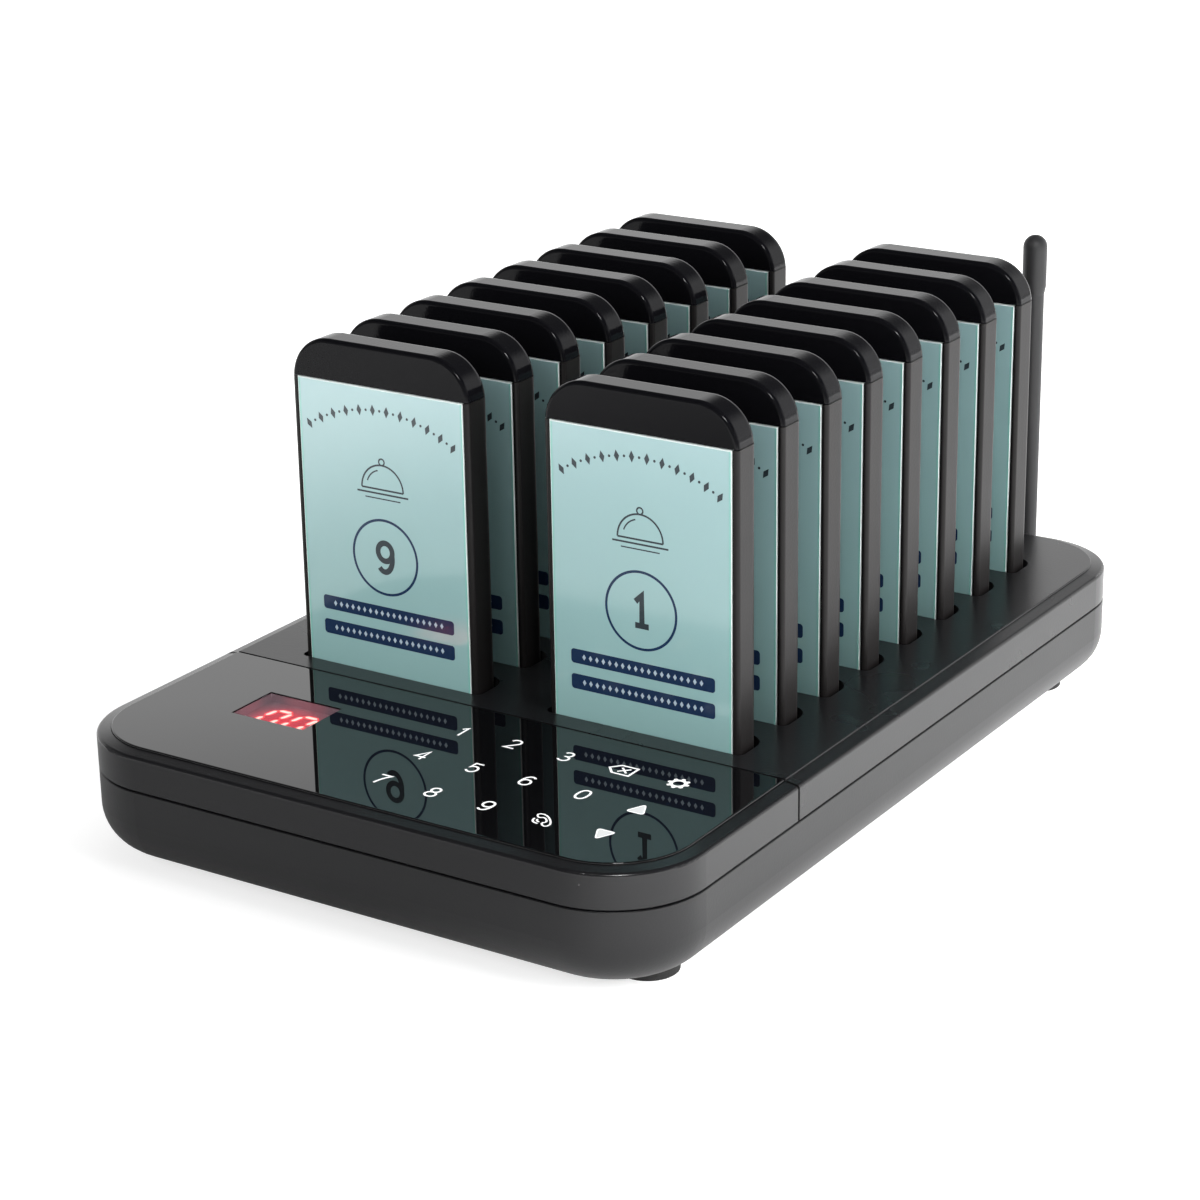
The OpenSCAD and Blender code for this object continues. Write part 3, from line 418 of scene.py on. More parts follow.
def skin(rings, looped=False):
    """Quads between rings of one count, anticlockwise from above and listed from the foot up. The first and
    last ring are capped, or joined to each other where the skin is looped."""
    count = len(rings[0])
    spans = len(rings) if looped else len(rings) - 1
    faces = []
    for span in range(spans):
        here, above = span * count, (span + 1) % len(rings) * count
        faces += [(here + i, here + (i + 1) % count, above + (i + 1) % count, above + i) for i in range(count)]
    if not looped:
        faces += [tuple(range(count))[::-1], tuple((len(rings) - 1) * count + i for i in range(count))]
    return np.vstack(rings), faces


LAYER = 0.000002


def ring_at(outline, height):
    """A flat outline lifted to a height, and by LAYER for each of its layers."""
    layers = outline[:, 2] if outline.shape[1] > 2 else np.zeros(len(outline))
    return np.column_stack([outline[:, :2], height + layers * LAYER])


def sheet_outline(low, high, radius, inset=0.0):
    """A rectangle with round corners in front and nearly square ones behind, moved inwards by the inset."""
    corners = ((low.x, low.y, radius, 180), (high.x, low.y, radius, 270),
               (high.x, high.y, PANEL_BACK_CORNER, 0), (low.x, high.y, PANEL_BACK_CORNER, 90))
    outline = []
    for x, y, bend, start in corners:
        turns = np.radians(np.linspace(start, start + 90, 33 if bend > PANEL_BACK_CORNER else 5))
        middle = (x + (bend if x == low.x else -bend), y + (bend if y == low.y else -bend))
        reach = bend - min(inset, bend)
        sharp = inset - (bend - reach)
        middle = (middle[0] + (sharp if x == low.x else -sharp), middle[1] + (sharp if y == low.y else -sharp))
        outline.append(np.stack([middle[0] + reach * np.cos(turns), middle[1] + reach * np.sin(turns)], 1))
    return np.vstack(outline)


def seen_from(centre, outline, angles):
    """Where rays from a centre at the given angles cross a convex outline: the nearest forward crossing of
    centre + t (cos, sin) with each side of the outline."""
    ends = np.roll(outline, -1, 0)
    rays = np.stack([np.cos(angles), np.sin(angles)], 1)[:, None]
    side, to_start = (ends - outline)[None], (outline - centre)[None]
    cross = rays[..., 0] * side[..., 1] - rays[..., 1] * side[..., 0]
    cross = np.where(np.abs(cross) < 1e-12, 1e-12, cross)
    far = (to_start[..., 0] * side[..., 1] - to_start[..., 1] * side[..., 0]) / cross
    along = (to_start[..., 0] * rays[..., 1] - to_start[..., 1] * rays[..., 0]) / cross
    good = (far > 0) & (along > -1e-6) & (along < 1 + 1e-6)
    reach = np.where(good, far, np.inf).min(1)
    return centre + reach[:, None] * rays[:, 0]


def holed_sheet(low, high, hole_low, hole_high, radius, edge):
    """A sheet with a rectangular window and a quarter-round front edge of radius edge: rings of the outline
    shrink by edge (1 - cos a) and rise by edge sin a, then run level to the window and down its walls."""
    centre = np.array([(hole_low.x + hole_high.x) / 2, (hole_low.y + hole_high.y) / 2])
    window = np.array([(hole_low.x, hole_low.y), (hole_high.x, hole_low.y), (hole_high.x, hole_high.y),
                       (hole_low.x, hole_high.y)])
    around = np.vstack([sheet_outline(low, high, radius), window]) - centre
    angles = np.unique(np.round(np.arctan2(around[:, 1], around[:, 0]), 9))
    rings = [ring_at(seen_from(centre, sheet_outline(low, high, radius), angles), low.z)]
    for turn in np.radians(np.linspace(0, 90, 6)):
        outline = sheet_outline(low, high, radius, edge * (1 - math.cos(turn)))
        rings.append(ring_at(seen_from(centre, outline, angles), high.z - edge + edge * math.sin(turn)))
    level = sheet_outline(low, high, radius, edge * 1.6)
    rings.append(ring_at(seen_from(centre, level, angles), high.z))
    hole = seen_from(centre, window, angles)
    rings += [ring_at(hole, high.z), ring_at(hole, low.z)]
    return skin(rings, looped=True)


panel_low, panel_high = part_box("touch_panel")
window_low, window_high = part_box("display_window")
panel_shape = holed_sheet(panel_low, panel_high, window_low, window_high, PANEL_CORNER, PANEL_EDGE)
panel_gloss = polished("panel_gloss", PANEL_BLACK, roughness=0.012, haze=0.03)
panel_sheet = finished_piece("touch_sheet", *panel_shape, panel_gloss, "base", "panel_gloss", sharp=50)
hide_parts("touch_panel")

# Keypad symbols ------------------------------------------------------------------------------------------
# White ink on the panel: the digits, an arrow key to clear, a gear, a handset to call and two arrowheads. Each
# symbol is a flat shape in its own plane, x to the right and y away from the user, laid just over the panel.
INK_LIFT = 0.00002
DIGIT_HEIGHT = 0.0058
STROKE = 0.00062
KEY_COLUMNS = (0.0003, 0.0163, 0.0324, 0.0490, 0.0657)
KEY_ROWS = (0.0236, 0.0414, 0.0591)
DIGIT_KEYS = (("1", 0, 0), ("2", 1, 0), ("3", 2, 0), ("4", 0, 1), ("5", 1, 1), ("6", 2, 1), ("0", 3, 1),
              ("7", 0, 2), ("8", 1, 2), ("9", 2, 2))


def ribbon(line, width, closed=False):
    """A flat stroke: each point moves half the width to both sides along its mitre, 1 / cos of half the turn,
    which stays under 2.2."""
    line = np.asarray(line, float)
    ahead = np.roll(line, -1, 0) - line
    if not closed:
        ahead[-1] = ahead[-2]
    ahead /= np.linalg.norm(ahead, axis=1, keepdims=True)
    side = np.stack([-ahead[:, 1], ahead[:, 0]], 1)
    before = np.roll(side, 1, 0)
    if not closed:
        before[0] = side[0]
    mitre = side + before
    mitre /= np.linalg.norm(mitre, axis=1, keepdims=True)
    mitre /= np.maximum((mitre * side).sum(1, keepdims=True), 1 / 2.2)
    count = len(line)
    points = np.vstack([line - mitre * width / 2, line + mitre * width / 2])
    spans = count if closed else count - 1
    faces = [(i, (i + 1) % count, (i + 1) % count + count, i + count) for i in range(spans)]
    return points, faces


def oval(centre, radii, start, end, steps=28):
    """Points of an elliptical arc, angles in degrees, anticlockwise."""
    angles = np.radians(np.linspace(start, end, steps))
    return np.stack([centre[0] + radii[0] * np.cos(angles), centre[1] + radii[1] * np.sin(angles)], 1)


def arc(centre, radius, start, end, steps=24):
    """Points of a round arc."""
    return oval(centre, (radius, radius), start, end, steps)


def moved(shape, x, y):
    """A flat shape shifted to x, y."""
    points, faces = shape
    points = np.array(points, float)
    points[:, :2] += (x, y)
    return points, faces


def together(shapes):
    """Several flat shapes as one list of points and one of faces. The third column of the points is the layer,
    so that strokes that cross each other lie a hair apart."""
    points, faces, count = [], [], 0
    for layer, (shape_points, shape_faces) in enumerate(shapes):
        shape_points = np.asarray(shape_points, float)
        below = shape_points[:, 2:] if shape_points.shape[1] > 2 else np.zeros((len(shape_points), 1))
        points.append(np.hstack([shape_points[:, :2], below + layer % 3]))
        faces += [tuple(corner + count for corner in face) for face in shape_faces]
        count += len(shape_points)
    return np.vstack(points), faces


def gear_shape(outer=0.003, root=0.0023, hole=0.0014, teeth=8, steps=96):
    """A gear ring: the outer radius swaps between tip and root with smooth flanks, the inner one is the hole."""
    angles = np.linspace(0, 2 * np.pi, steps, endpoint=False)
    tooth = np.clip(2.2 * np.cos(teeth * angles) + 0.5, 0, 1)
    radius = root + (outer - root) * tooth
    rim = np.stack([radius * np.cos(angles), radius * np.sin(angles)], 1)
    bore = hole * np.stack([np.cos(angles), np.sin(angles)], 1)
    faces = [(i, (i + 1) % steps, (i + 1) % steps + steps, i + steps) for i in range(steps)]
    return np.vstack([bore, rim]), [face[::-1] for face in faces]


def whole_oval(centre, radii, steps=40):
    """A closed ellipse without its last point."""
    return oval(centre, radii, 0, 360 - 360 / steps, steps)


def digit_lines(digit, footed):
    """Centre lines of a digit as (line, closed) pairs: 1 high and about 0.58 wide round the origin. Straight
    strokes and elliptical arcs; nought is |x / 0.29|^2.3 + |y / 0.5|^2.3 = 1; the seven's leg is quadratic."""
    if digit == "0":
        turns = np.radians(np.linspace(0, 360, 48, endpoint=False))
        bend = lambda wave: np.sign(wave) * np.abs(wave) ** (2 / 2.3)
        return [(np.stack([0.29 * bend(np.cos(turns)), 0.5 * bend(np.sin(turns))], 1), True)]
    if digit == "1":
        lines = [([(-0.2, 0.28), (0.03, 0.5), (0.03, -0.5)], False)]
        return lines + [([(-0.22, -0.5), (0.28, -0.5)], False)] if footed else lines
    if digit == "2":
        bowl = oval((0, 0.22), (0.27, 0.28), -38, 165)[::-1]
        return [(np.vstack([bowl, [(-0.28, -0.5), (0.3, -0.5)]]), False)]
    if digit == "3":
        return [(oval((-0.01, 0.255), (0.24, 0.245), -85, 155)[::-1], False),
                (oval((-0.01, -0.245), (0.285, 0.255), -155, 85), False),
                ([(-0.12, 0.01), (0.02, 0.01)], False)]
    if digit == "4":
        return [([(0.13, -0.5), (0.13, 0.5), (-0.3, -0.2), (0.31, -0.2)], False)]
    if digit == "5":
        bowl = oval((0, -0.17), (0.285, 0.33), -150, 145)[::-1]
        return [(np.vstack([[(0.25, 0.5), (-0.2, 0.5)], bowl]), False)]
    if digit == "7":
        reach = np.linspace(0, 1, 16)[:, None]
        corner, bend, foot = np.array([(0.29, 0.5), (-0.02, 0.12), (-0.09, -0.5)])
        leg = (1 - reach) ** 2 * corner + 2 * reach * (1 - reach) * bend + reach ** 2 * foot
        return [(np.vstack([[(-0.29, 0.5)], leg]), False)]
    if digit == "8":
        return [(whole_oval((0, 0.26), (0.235, 0.24)), True), (whole_oval((0, -0.24), (0.285, 0.26)), True)]
    six = [(whole_oval((0, -0.19), (0.285, 0.31)), True), (oval((0.03, 0), (0.315, 0.5), 48, 196), False)]
    return six if digit == "6" else [(-np.asarray(line), closed) for line, closed in six]


def figure_shape(text, height, stroke, footed=False):
    """A number in even strokes, height tall with its strokes, its digits 0.76 of the height apart."""
    size = height - stroke
    middle = (len(text) - 1) / 2
    shapes = []
    for place, digit in enumerate(text):
        for line, closed in digit_lines(digit, footed):
            spot = np.asarray(line, float) * size + ((place - middle) * 0.76 * height, 0)
            shapes.append(ribbon(spot, stroke, closed))
    return together(shapes)


def clear_shape(half_w=0.0035, half_h=0.0025, cross=0.0013):
    """A key with a pointed left end and a cross in it."""
    outline = [(-half_w, 0), (-half_w + half_h * 0.85, half_h), (half_w, half_h), (half_w, -half_h),
               (-half_w + half_h * 0.85, -half_h)]
    middle = 0.0008
    return together([
        ribbon(outline, STROKE, closed=True),
        ribbon([(middle - cross, -cross), (middle + cross, cross)], STROKE * 0.9),
        ribbon([(middle - cross, cross), (middle + cross, -cross)], STROKE * 0.9),
    ])


def handset_shape():
    """The outline of a telephone handset, mirrored about its middle, with two sound waves at its hollow side.
    It is drawn level and then turned 45 degrees clockwise."""
    half = np.array([(0, 1.7), (1.2, 1.62), (2.3, 1.4), (3.2, 0.95), (3.75, 0.2), (3.6, -0.5), (2.9, -0.78),
                     (1.95, -0.75), (1.55, -0.3), (1.45, 0.35), (0.95, 0.72), (0, 0.84)]) / 1000
    outline = np.vstack([half, half[-2:0:-1] * (-1, 1)])
    points, faces = together([
        ribbon(outline, STROKE * 0.75, closed=True),
        ribbon(arc((0, -0.0005), 0.0010, 215, 325), STROKE * 0.8),
        ribbon(arc((0, -0.0005), 0.0020, 215, 325), STROKE * 0.8),
    ])
    turn = math.sqrt(0.5)
    points[:, :2] = points[:, :2] @ np.array([(turn, -turn), (turn, turn)])
    return points, faces


def softened(corners, cut=0.22, steps=6):
    """A polygon whose corners are quadratic curves between points at the cut's share of each side."""
    corners = np.asarray(corners, float)
    reach = np.linspace(0, 1, steps)[:, None]
    outline = []
    for here, corner in enumerate(corners):
        start = corner + (corners[here - 1] - corner) * cut
        end = corner + (corners[(here + 1) % len(corners)] - corner) * cut
        outline.append((1 - reach) ** 2 * start + 2 * reach * (1 - reach) * corner + reach ** 2 * end)
    return np.vstack(outline)


def arrowhead(up, half_w=0.0026, height=0.0054):
    """The softened outline of a triangle that points away from the user, or towards them."""
    tip = height / 2 if up else -height / 2
    corners = [(-half_w, -tip), (half_w, -tip), (0, tip)]
    return softened(corners if up else corners[::-1])


first_face_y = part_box("pager_01_face")[0].y


def key_place(column, row):
    """Where a key's symbol lies on the panel."""
    return KEY_COLUMNS[column], first_face_y - KEY_ROWS[row]


def ink_on_panel(name, shapes, lift, material):
    """Flat shapes on the panel as one piece, lift above it."""
    points, faces = together(shapes)
    finished_piece(name, ring_at(points, panel_high.z + lift), faces, material, "base", "panel_gloss")


def glowing_ink(name, tone, glow):
    """White screen ink that the lamps behind the panel light a little."""
    return tuned(polished(name, (tone, tone, tone), roughness=0.25),
                 Emission_Color=(1, 0.99, 1, 1), Emission_Strength=glow)


arrows = [moved((arrowhead(up), []), *key_place(4, row))[0] for up, row in ((True, 1), (False, 2))]
symbols = [moved(figure_shape(digit, DIGIT_HEIGHT, STROKE), *key_place(column, row))
           for digit, column, row in DIGIT_KEYS]
symbols += [
    moved(clear_shape(), *key_place(3, 0)),
    moved(gear_shape(), *key_place(4, 0)),
    moved(handset_shape(), *key_place(3, 2)),
]
symbols += [ribbon(outline, STROKE * 0.55, closed=True) for outline in arrows]
ink_on_panel("keypad_symbols", symbols, INK_LIFT * 1.5, glowing_ink("symbol_white", 0.8, 0.4))
ink_on_panel("keypad_arrow_fill", [(outline, [tuple(range(len(outline)))]) for outline in arrows], INK_LIFT,
             glowing_ink("symbol_pale", 0.5, 0.22))

# Number display ------------------------------------------------------------------------------------------
# Two red seven-segment digits, both a nought, at the bottom of a smoky tray behind a thin clear pane. Each bar
# is almost white with a red rim, and the tray glows red round them and fades to grey behind.
DISPLAY_DIGIT = 0.0098
DISPLAY_WIDTH = 0.0050
DISPLAY_PITCH = 0.0086
DISPLAY_FORWARD = 0.0011
BAR_CORE = 0.0012
BAR_RIM = 0.0024
SLANT = 0.17
PANE_THICK = 0.0005
PANE_BEVEL = 0.0001
TRAY_WALL = 0.0003
GLOW_FORWARD = 0.0005
GLOW_REACH = (0.0145, 0.0125)
GLOW_TONES = ((0, (0.95, 0.045, 0.075)), (0.38, (0.72, 0.06, 0.09)), (0.56, (0.48, 0.10, 0.13)),
              (0.8, (0.22, 0.09, 0.11)), (1, (0.12, 0.08, 0.095)))


def seven_segment_bars(lit, width):
    """Lit bars of one digit, each a long hexagon of a width, leaned to the right by SLANT."""
    half_h, half_w = DISPLAY_DIGIT / 2, DISPLAY_WIDTH / 2
    ends = {
        "a": ((-half_w, half_h), (half_w, half_h)), "g": ((-half_w, 0), (half_w, 0)),
        "d": ((-half_w, -half_h), (half_w, -half_h)), "f": ((-half_w, 0), (-half_w, half_h)),
        "b": ((half_w, 0), (half_w, half_h)), "e": ((-half_w, -half_h), (-half_w, 0)),
        "c": ((half_w, -half_h), (half_w, 0)),
    }
    bars = []
    for letter in lit:
        start, end = (np.array(point, float) for point in ends[letter])
        along = (end - start) / np.linalg.norm(end - start)
        across = np.array([-along[1], along[0]]) * width / 2
        gap = BAR_CORE * 0.45 - (width - BAR_CORE) / 2
        start, end = start + along * gap, end - along * gap
        inner, outer = start + along * width / 2, end - along * width / 2
        corners = np.array([start, inner - across, outer - across, end, outer + across, inner + across])
        corners[:, 0] += corners[:, 1] * SLANT
        bars.append((corners, [(0, 1, 2, 3, 4, 5)]))
    return bars


def disc(centre, radius, steps=12):
    """A filled circle."""
    return arc(centre, radius, 0, 360 - 360 / steps, steps), [tuple(range(steps))]


def rectangle(low, high, inset=0.0):
    """The four plan corners of a box, anticlockwise and moved inwards."""
    return np.array([(low.x + inset, low.y + inset), (high.x - inset, low.y + inset),
                     (high.x - inset, high.y - inset), (low.x + inset, high.y - inset)])


module_low, module_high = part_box("display_module")
digits_x = (window_low.x + window_high.x) / 2
digits_y = (window_low.y + window_high.y) / 2 - DISPLAY_FORWARD
tray_floor = window_low.z - 0.0001
pane_foot = window_high.z - PANE_THICK


def display_bars(width):
    """The bars of both digits."""
    return [moved(bar, digits_x + side * DISPLAY_PITCH / 2, digits_y)
            for side in (-1, 1) for bar in seven_segment_bars("abcdef", width)]


def lamp_red(name, colour, strength):
    """A lit bar: coloured light over a dull red body."""
    finish = bpy.data.materials.new(name)
    finish.use_nodes = True
    return tuned(finish, Base_Color=(0.3, 0.05, 0.04, 1), Emission_Color=(*colour, 1), Emission_Strength=strength)


rim_points, rim_faces = together(display_bars(BAR_RIM))
finished_piece("display_bar_rims", ring_at(rim_points, tray_floor + 0.00003), rim_faces,
               lamp_red("display_rim", (1, 0.07, 0.09), 0.9), "base", "display_red")
core_points, core_faces = together(display_bars(BAR_CORE))
finished_piece("display_bar_cores", ring_at(core_points, tray_floor + 0.00006), core_faces,
               lamp_red("display_red", (1, 0.82, 0.72), 1.3), "base", "display_red")


def glowing_filler():
    """Smoky resin: its red glow falls off with the distance from the middle of the lit digits."""
    finish = bpy.data.materials.new("display_filler")
    finish.use_nodes = True
    nodes, links = finish.node_tree.nodes, finish.node_tree.links
    centred = nodes.new("ShaderNodeMapping")
    centred.inputs["Location"].default_value = (-digits_x, GLOW_FORWARD - digits_y, 0)
    squeezed = nodes.new("ShaderNodeMapping")
    squeezed.inputs["Scale"].default_value = (1 / GLOW_REACH[0], 1 / GLOW_REACH[1], 0)
    away = nodes.new("ShaderNodeVectorMath")
    away.operation = "LENGTH"
    falloff = nodes.new("ShaderNodeValToRGB")
    falloff.color_ramp.interpolation = "EASE"
    first, last = GLOW_TONES[0], GLOW_TONES[-1]
    falloff.color_ramp.elements[0].color = (*first[1], 1)
    falloff.color_ramp.elements[1].color = (*last[1], 1)
    for place, tone in GLOW_TONES[1:-1]:
        falloff.color_ramp.elements.new(place).color = (*tone, 1)
    links.new(nodes.new("ShaderNodeTexCoord").outputs["Object"], centred.inputs["Vector"])
    links.new(centred.outputs["Vector"], squeezed.inputs["Vector"])
    links.new(squeezed.outputs["Vector"], away.inputs[0])
    links.new(away.outputs["Value"], falloff.inputs["Fac"])
    links.new(falloff.outputs["Color"], nodes["Principled BSDF"].inputs["Emission Color"])
    return tuned(finish, Base_Color=(0.05, 0.045, 0.05, 1), Roughness=0.7, Specular_IOR_Level=0.1,
                 Emission_Strength=0.9)


display_filler = glowing_filler()
dress(display_filler, "display_module")
tray_shape = skin([
    ring_at(rectangle(window_low, window_high), module_high.z + 0.00002),
    ring_at(rectangle(window_low, window_high), pane_foot),
    ring_at(rectangle(window_low, window_high, TRAY_WALL), pane_foot),
    ring_at(rectangle(window_low, window_high, TRAY_WALL), tray_floor),
])
finished_piece("display_tray", *tray_shape, display_filler, "base", "display_smoke")
pane_shape = skin([
    ring_at(rectangle(window_low, window_high), pane_foot + 0.00001),
    ring_at(rectangle(window_low, window_high), window_high.z - PANE_BEVEL),
    ring_at(rectangle(window_low, window_high, PANE_BEVEL), window_high.z),
])
smoked_window = tuned(polished("display_smoke", (0.9, 0.8, 0.82), haze=0.01, ior=1.03), Transmission_Weight=1)
pane = finished_piece("display_pane", *pane_shape, smoked_window, "base", "display_smoke", sharp=30)
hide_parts("display_window")

# Pager cases ---------------------------------------------------------------------------------------------
# Each pager has a satin black shell and, above a hairline seam, a glossy cap that lets the radio through. The
# seam stands at the same height on all sixteen, so one finish changes at that height.
PAGERS = 16
SHELL_BLACK = (0.010, 0.009, 0.009)
CAP_BLACK = (0.004, 0.004, 0.005)
SHELL_SHINE = 0.2
CAP_SHINE = 0.12
CAP_ROUGHNESS = 0.1
CAP_HEIGHT = 0.0112
seam_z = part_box("pager_01_cap")[1].z - CAP_HEIGHT


def pager_body(number):
    return f"pager_{number:02d}"


def object_axes(tree):
    """The x, y and z outputs of a point on the piece."""
    split = tree.nodes.new("ShaderNodeSeparateXYZ")
    tree.links.new(tree.nodes.new("ShaderNodeTexCoord").outputs["Object"], split.inputs[0])
    return split.outputs


def shell_plastic(name):
    """The satin black of the shells."""
    return tuned(moulded_plastic(name, SHELL_BLACK, 0.36, grain=0.1), Specular_IOR_Level=SHELL_SHINE)


def case_finish():
    """Roughness, colour and shine step from shell to cap at the seam's height."""
    finish = shell_plastic("pager_black")
    tree = finish.node_tree
    surface = tree.nodes["Group"].outputs
    above = maths(tree, "GREATER_THAN", object_axes(tree)["Z"], seam_z)
    stepped = (
        ("Base Color", mixed(tree, "RGBA", above, surface["Colour"], (*CAP_BLACK, 1))),
        ("Specular IOR Level", spread(tree, above, 0, 1, SHELL_SHINE, CAP_SHINE)),
        ("Roughness", mixed(tree, "FLOAT", above, surface["Roughness"], CAP_ROUGHNESS)),
    )
    for socket, value in stepped:
        tree.links.new(value, tree.nodes["Principled BSDF"].inputs[socket])
    return finish


dress(case_finish(), *[f"pager_{number:02d}_case" for number in range(2, PAGERS + 1)])
dress(shell_plastic("pager_01_black"), "pager_01_shell")
cap_gloss = polished("cap_gloss", CAP_BLACK, roughness=CAP_ROUGHNESS, haze=0.04)
dress(tuned(cap_gloss, Specular_IOR_Level=CAP_SHINE), "pager_01_cap")

# Pager faces ---------------------------------------------------------------------------------------------
# A 2 mm acrylic plate with polished bevelled edges lies in each shell. A pale teal film with a mirror-like
# sheen backs it, so it takes on the white table above and the dark keypad below. Its colour also holds painted
# light: painted shade towards the foot, a painted green glow at the sides and a painted highlight on the cut
# edges.
FACE_TEAL = (0.385, 0.605, 0.62)
# Painted shade: the teal is darker and greener at the face's foot.
FACE_FOOT_SHADE_TEAL = (0.34, 0.58, 0.57)
FACE_BEVEL = 0.0004
# A painted edge glow: the last band of each side of the face is greener.
EDGE_GLOW_BAND = 0.0012
EDGE_GLOW_GREEN = (0.22, 0.62, 0.52, 1)
# A painted highlight: the side and top cut edges of the face are pale.
EDGE_HIGHLIGHT_PALE = (0.85, 0.95, 0.93, 1)
face_low, face_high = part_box("pager_01_face")
row_x = abs(face_low.x + face_high.x) / 2


def bevelled_plate(low, high, bevel):
    """A slab whose front edge is bevelled: rings of a rectangle that shrink towards the front face."""
    rings = []
    for inset, y in ((0, high.y), (0, low.y + bevel), (bevel * 0.3, low.y + bevel * 0.3), (bevel, low.y)):
        rings += [
            (low.x + inset, y, low.z + inset), (high.x - inset, y, low.z + inset),
            (high.x - inset, y, high.z - inset), (low.x + inset, y, high.z - inset),
        ]
    faces = [(0, 1, 2, 3)]
    for ring in range(3):
        for corner in range(4):
            here, next_one = ring * 4 + corner, ring * 4 + (corner + 1) % 4
            faces.append((here, here + 4, next_one + 4, next_one))
    faces.append((15, 14, 13, 12))
    return rings, faces


def face_finish():
    """Teal film with painted light: painted shade makes it a little darker and greener towards the foot, a painted
    edge glow makes the last millimetre at each side greener, and a painted highlight draws the side and top cut
    edges as a pale line."""
    finish = polished("face_teal", FACE_TEAL, roughness=0.09, ior=2.2)
    tree, axes = finish.node_tree, object_axes(finish.node_tree)
    # Painted shade: the colour darkens and greens towards the foot.
    height = spread(tree, axes["Z"], face_low.z, face_high.z)
    body = mixed(tree, "RGBA", height, (*FACE_FOOT_SHADE_TEAL, 1), (*FACE_TEAL, 1))
    from_middle = maths(tree, "SUBTRACT", maths(tree, "ABSOLUTE", axes["X"]), row_x)
    sideways = maths(tree, "ABSOLUTE", from_middle)
    half_width = (face_high.x - face_low.x) / 2
    # Painted edge glow: greener near each side.
    near_side = spread(tree, sideways, half_width - EDGE_GLOW_BAND, half_width - FACE_BEVEL)
    edged = mixed(tree, "RGBA", near_side, body, EDGE_GLOW_GREEN)
    # Painted highlight: a pale line on the side and top cut edges.
    at_side = maths(tree, "GREATER_THAN", sideways, half_width - FACE_BEVEL)
    at_top = maths(tree, "GREATER_THAN", axes["Z"], face_high.z - FACE_BEVEL)
    bright = mixed(tree, "RGBA", maths(tree, "MAXIMUM", at_side, at_top), edged, EDGE_HIGHLIGHT_PALE)
    tree.links.new(bright, tree.nodes["Principled BSDF"].inputs["Base Color"])
    return finish


face_teal = face_finish()
for number in range(1, PAGERS + 1):
    node = f"pager_{number:02d}_face"
    plate = finished_piece(f"pager_{number:02d}_plate", *bevelled_plate(*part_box(node), FACE_BEVEL), face_teal,
                           pager_body(number), "face_print", sharp=20)
    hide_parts(node)

# Pager prints --------------------------------------------------------------------------------------------
# Ink on each face: an arc of small lozenges, a serving dome, the pager's number in a ring and two navy bars,
# each with a row of pale lozenges. Distances are from the middle of the face and from the deck's top.
RING_Z, RING_R, RING_STROKE = 0.0334, 0.0105, 0.00072
NUMBER_HEIGHT = 0.0098
NUMBER_STROKE = 0.0016
BARS = ((0.0152, 0.0192), (0.00805, 0.01225))
BAR_LEFT, BAR_RIGHT = -0.0216, 0.0219
ARC_MIDDLE_Z, ARC_END_Z, ARC_REACH = 0.0743, 0.0676, 0.0235
DOME_Z, DOME_R = 0.0535, 0.0068
COVER_SIZE = 1 / 900


def rounded_bar(left, right, low, high, radius=0.0009):
    """A filled rectangle with round corners."""
    corners = ((right - radius, high - radius, 0), (left + radius, high - radius, 90),
               (left + radius, low + radius, 180), (right - radius, low + radius, 270))
    outline = np.vstack([arc((x, z), radius, turn, turn + 90, 6) for x, z, turn in corners])
    return outline, [tuple(range(len(outline)))]


def lozenge(x, z, half_w, half_h, turn=0.0):
    """A small diamond, turned by an angle in radians."""
    corners = np.array([(half_w, 0), (0, half_h), (-half_w, 0), (0, -half_h)])
    cos, sin = math.cos(turn), math.sin(turn)
    return corners @ np.array([[cos, sin], [-sin, cos]]) + (x, z), [(0, 1, 2, 3)]


def ornament_arc():
    """Lozenges and dots along the circle through the arc's middle and its two ends."""
    rise = ARC_MIDDLE_Z - ARC_END_Z
    radius = (ARC_REACH ** 2 + rise ** 2) / (2 * rise)
    sweep = math.asin(ARC_REACH / radius)
    shapes = []
    for place, turn in enumerate(np.linspace(-sweep, sweep, 23)):
        x, z = radius * math.sin(turn), ARC_MIDDLE_Z - radius * (1 - math.cos(turn))
        if place % 2:
            shapes.append(disc((x, z), 0.00038))
        else:
            shapes.append(lozenge(x, z, 0.0008, 0.0016, -turn))
    return shapes


def serving_dome():
    """A domed cover with a knob on a flat dish, in thin strokes."""
    base = DOME_Z - 0.001
    return [
        ribbon(arc((0, base), DOME_R, 0, 180, 40), 0.0005),
        ribbon([(-DOME_R, base), (DOME_R, base)], 0.0005),
        ribbon(arc((0, base + DOME_R + 0.0009), 0.0009, 0, 345, 24), 0.00045, closed=True),
        ribbon([(-DOME_R - 0.0016, base - 0.0012), (DOME_R + 0.0016, base - 0.0012)], 0.0005),
        ribbon(arc((0, base + 0.0002), DOME_R - 0.0016, 105, 160, 20), 0.0004),
        ribbon([(-DOME_R + 0.001, base - 0.0026), (DOME_R - 0.001, base - 0.0026)], 0.00035),
    ]


def print_ink(name, colour):
    """Screen ink under the same polish as the plate, with a faint uneven cover."""
    finish = polished(name, colour, roughness=0.12, haze=0.04, ior=1.6)
    tree = finish.node_tree
    cover = tree.nodes.new("ShaderNodeTexNoise")
    cover.inputs["Scale"].default_value = 1 / COVER_SIZE
    tree.links.new(tree.nodes.new("ShaderNodeTexCoord").outputs["Object"], cover.inputs["Vector"])
    thin = (*[min(1, part * 1.25 + 0.004) for part in colour], 1)
    toned = mixed(tree, "RGBA", cover.outputs["Fac"], (*colour, 1), thin)
    tree.links.new(toned, tree.nodes["Principled BSDF"].inputs["Base Color"])
    return finish


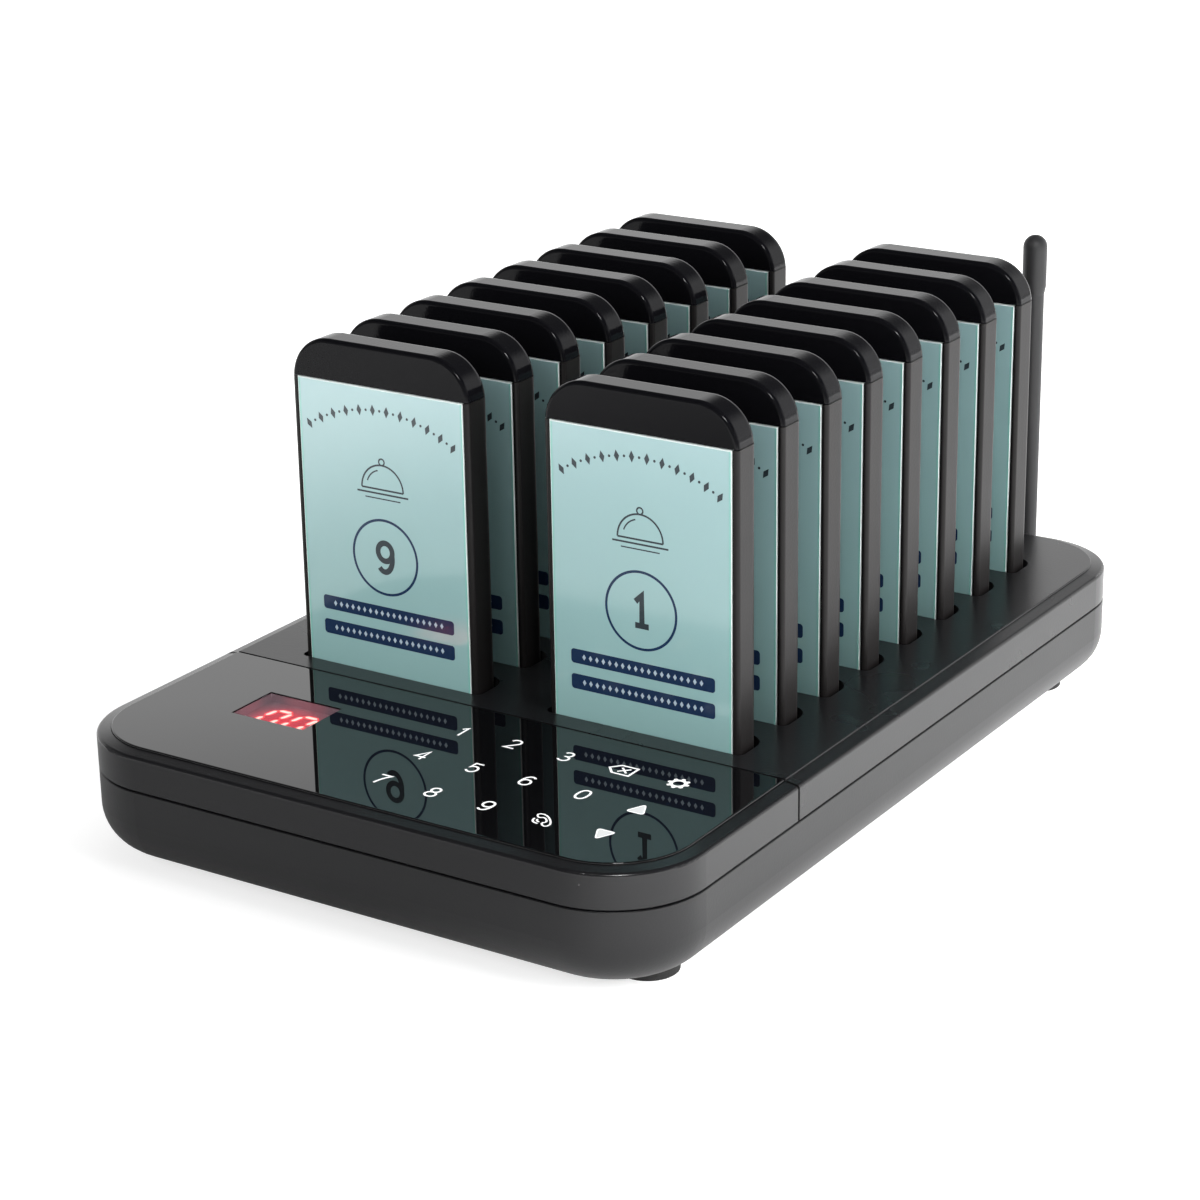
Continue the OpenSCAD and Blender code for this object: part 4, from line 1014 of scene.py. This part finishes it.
navy_ink = print_ink("ink_navy", (0.010, 0.028, 0.075))
grey_ink = print_ink("ink_grey", (0.030, 0.042, 0.050))
pale_ink = print_ink("ink_pale", (0.42, 0.52, 0.60))
ring = ribbon(arc((0, RING_Z), RING_R, 0, 360 - 3.75, 96), RING_STROKE, closed=True)
navy_bars = [rounded_bar(BAR_LEFT, BAR_RIGHT, low, high) for low, high in BARS]
pale_rows = [
    lozenge(x, (low + high) / 2, 0.00055, 0.00085)
    for low, high in BARS
    for x in np.linspace(BAR_LEFT + 0.004, BAR_RIGHT - 0.004, 19)
]


def print_on(number, name, shapes, lift, material):
    """Lays flat shapes on a pager's face, lift in front of it."""
    low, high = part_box(f"pager_{number:02d}_face")
    points, faces = together(shapes)
    placed = np.column_stack([
        points[:, 0] + (low.x + high.x) / 2,
        low.y - lift - points[:, 2] * LAYER,
        points[:, 1] + deck_high.z,
    ])
    finished_piece(f"pager_{number:02d}_{name}", placed, faces, material, pager_body(number), "face_print")


for number in range(1, PAGERS + 1):
    figure = moved(figure_shape(str(number), NUMBER_HEIGHT, NUMBER_STROKE, footed=True), 0, RING_Z)
    print_on(number, "print_grey", [*ornament_arc(), *serving_dome(), figure], INK_LIFT, grey_ink)
    print_on(number, "print_navy", [ring, *navy_bars], INK_LIFT, navy_ink)
    print_on(number, "print_pale", pale_rows, INK_LIFT * 2, pale_ink)

# Antenna -------------------------------------------------------------------------------------------------
# A rubber-sleeved rod on a knurled swivel with a steel elbow pin. It screws to a brass socket, which a nut
# holds in the rear wall.
dress(moulded_plastic("antenna_black", (0.02, 0.02, 0.021), 0.5, grain=0.1), "antenna_rod", "antenna_swivel")


def plain_metal(name, colour, roughness):
    """Metal with the slow cloud of the moulded_surface group on its roughness."""
    return tuned(moulded_plastic(name, colour, roughness, drift=0.15, dust=0.0, grain=0.04), Metallic=1)


dress(plain_metal("pin_steel", (0.55, 0.56, 0.58), 0.3), "antenna_pin")
dress(plain_metal("socket_brass", (0.72, 0.52, 0.22), 0.28), "antenna_socket")

# Rear fittings -------------------------------------------------------------------------------------------
# The power inlet and the rocker switch, both moulded in black nylon. They sit in openings of the housing's
# rear wall.
dress(moulded_plastic("jack_black", (0.012, 0.012, 0.012), 0.45), "dc_jack")
dress(moulded_plastic("switch_black", (0.014, 0.014, 0.014), 0.35), "switch_frame")
dress(moulded_plastic("rocker_black", (0.018, 0.018, 0.019), 0.25), "switch_rocker")

# Feet and screws -----------------------------------------------------------------------------------------
# Four moulded rubber feet on the housing's underside and six steel cross-head screws that hold the upper
# mouldings.
dress(moulded_plastic("feet_rubber", (0.03, 0.03, 0.03), 0.75, grain=0.3), "feet")
dress(plain_metal("screw_steel", (0.5, 0.5, 0.52), 0.35), "case_screws")

# Inside --------------------------------------------------------------------------------------------------
# Green and blue circuit boards, leads, the buzzer, gilt contacts and the parts of the first pager. They show
# at most through the wells and openings.
dress(moulded_plastic("board_green", (0.02, 0.11, 0.05), 0.35), "touch_board", "main_board", "charge_board",
      "pager_01_board")
dress(moulded_plastic("board_blue", (0.02, 0.06, 0.22), 0.35), "radio_module")
dress(moulded_plastic("cable_white", (0.65, 0.64, 0.58), 0.5), "flat_cable")
dress(moulded_plastic("cable_black", (0.02, 0.02, 0.02), 0.5), "antenna_lead")
dress(moulded_plastic("buzzer_black", (0.015, 0.015, 0.015), 0.4), "buzzer")
dress(plain_metal("contact_gold", (0.85, 0.62, 0.25), 0.2), "charge_contacts", "pager_01_contacts")
dress(plain_metal("battery_foil", (0.62, 0.64, 0.66), 0.4), "pager_01_battery", "pager_01_motor")
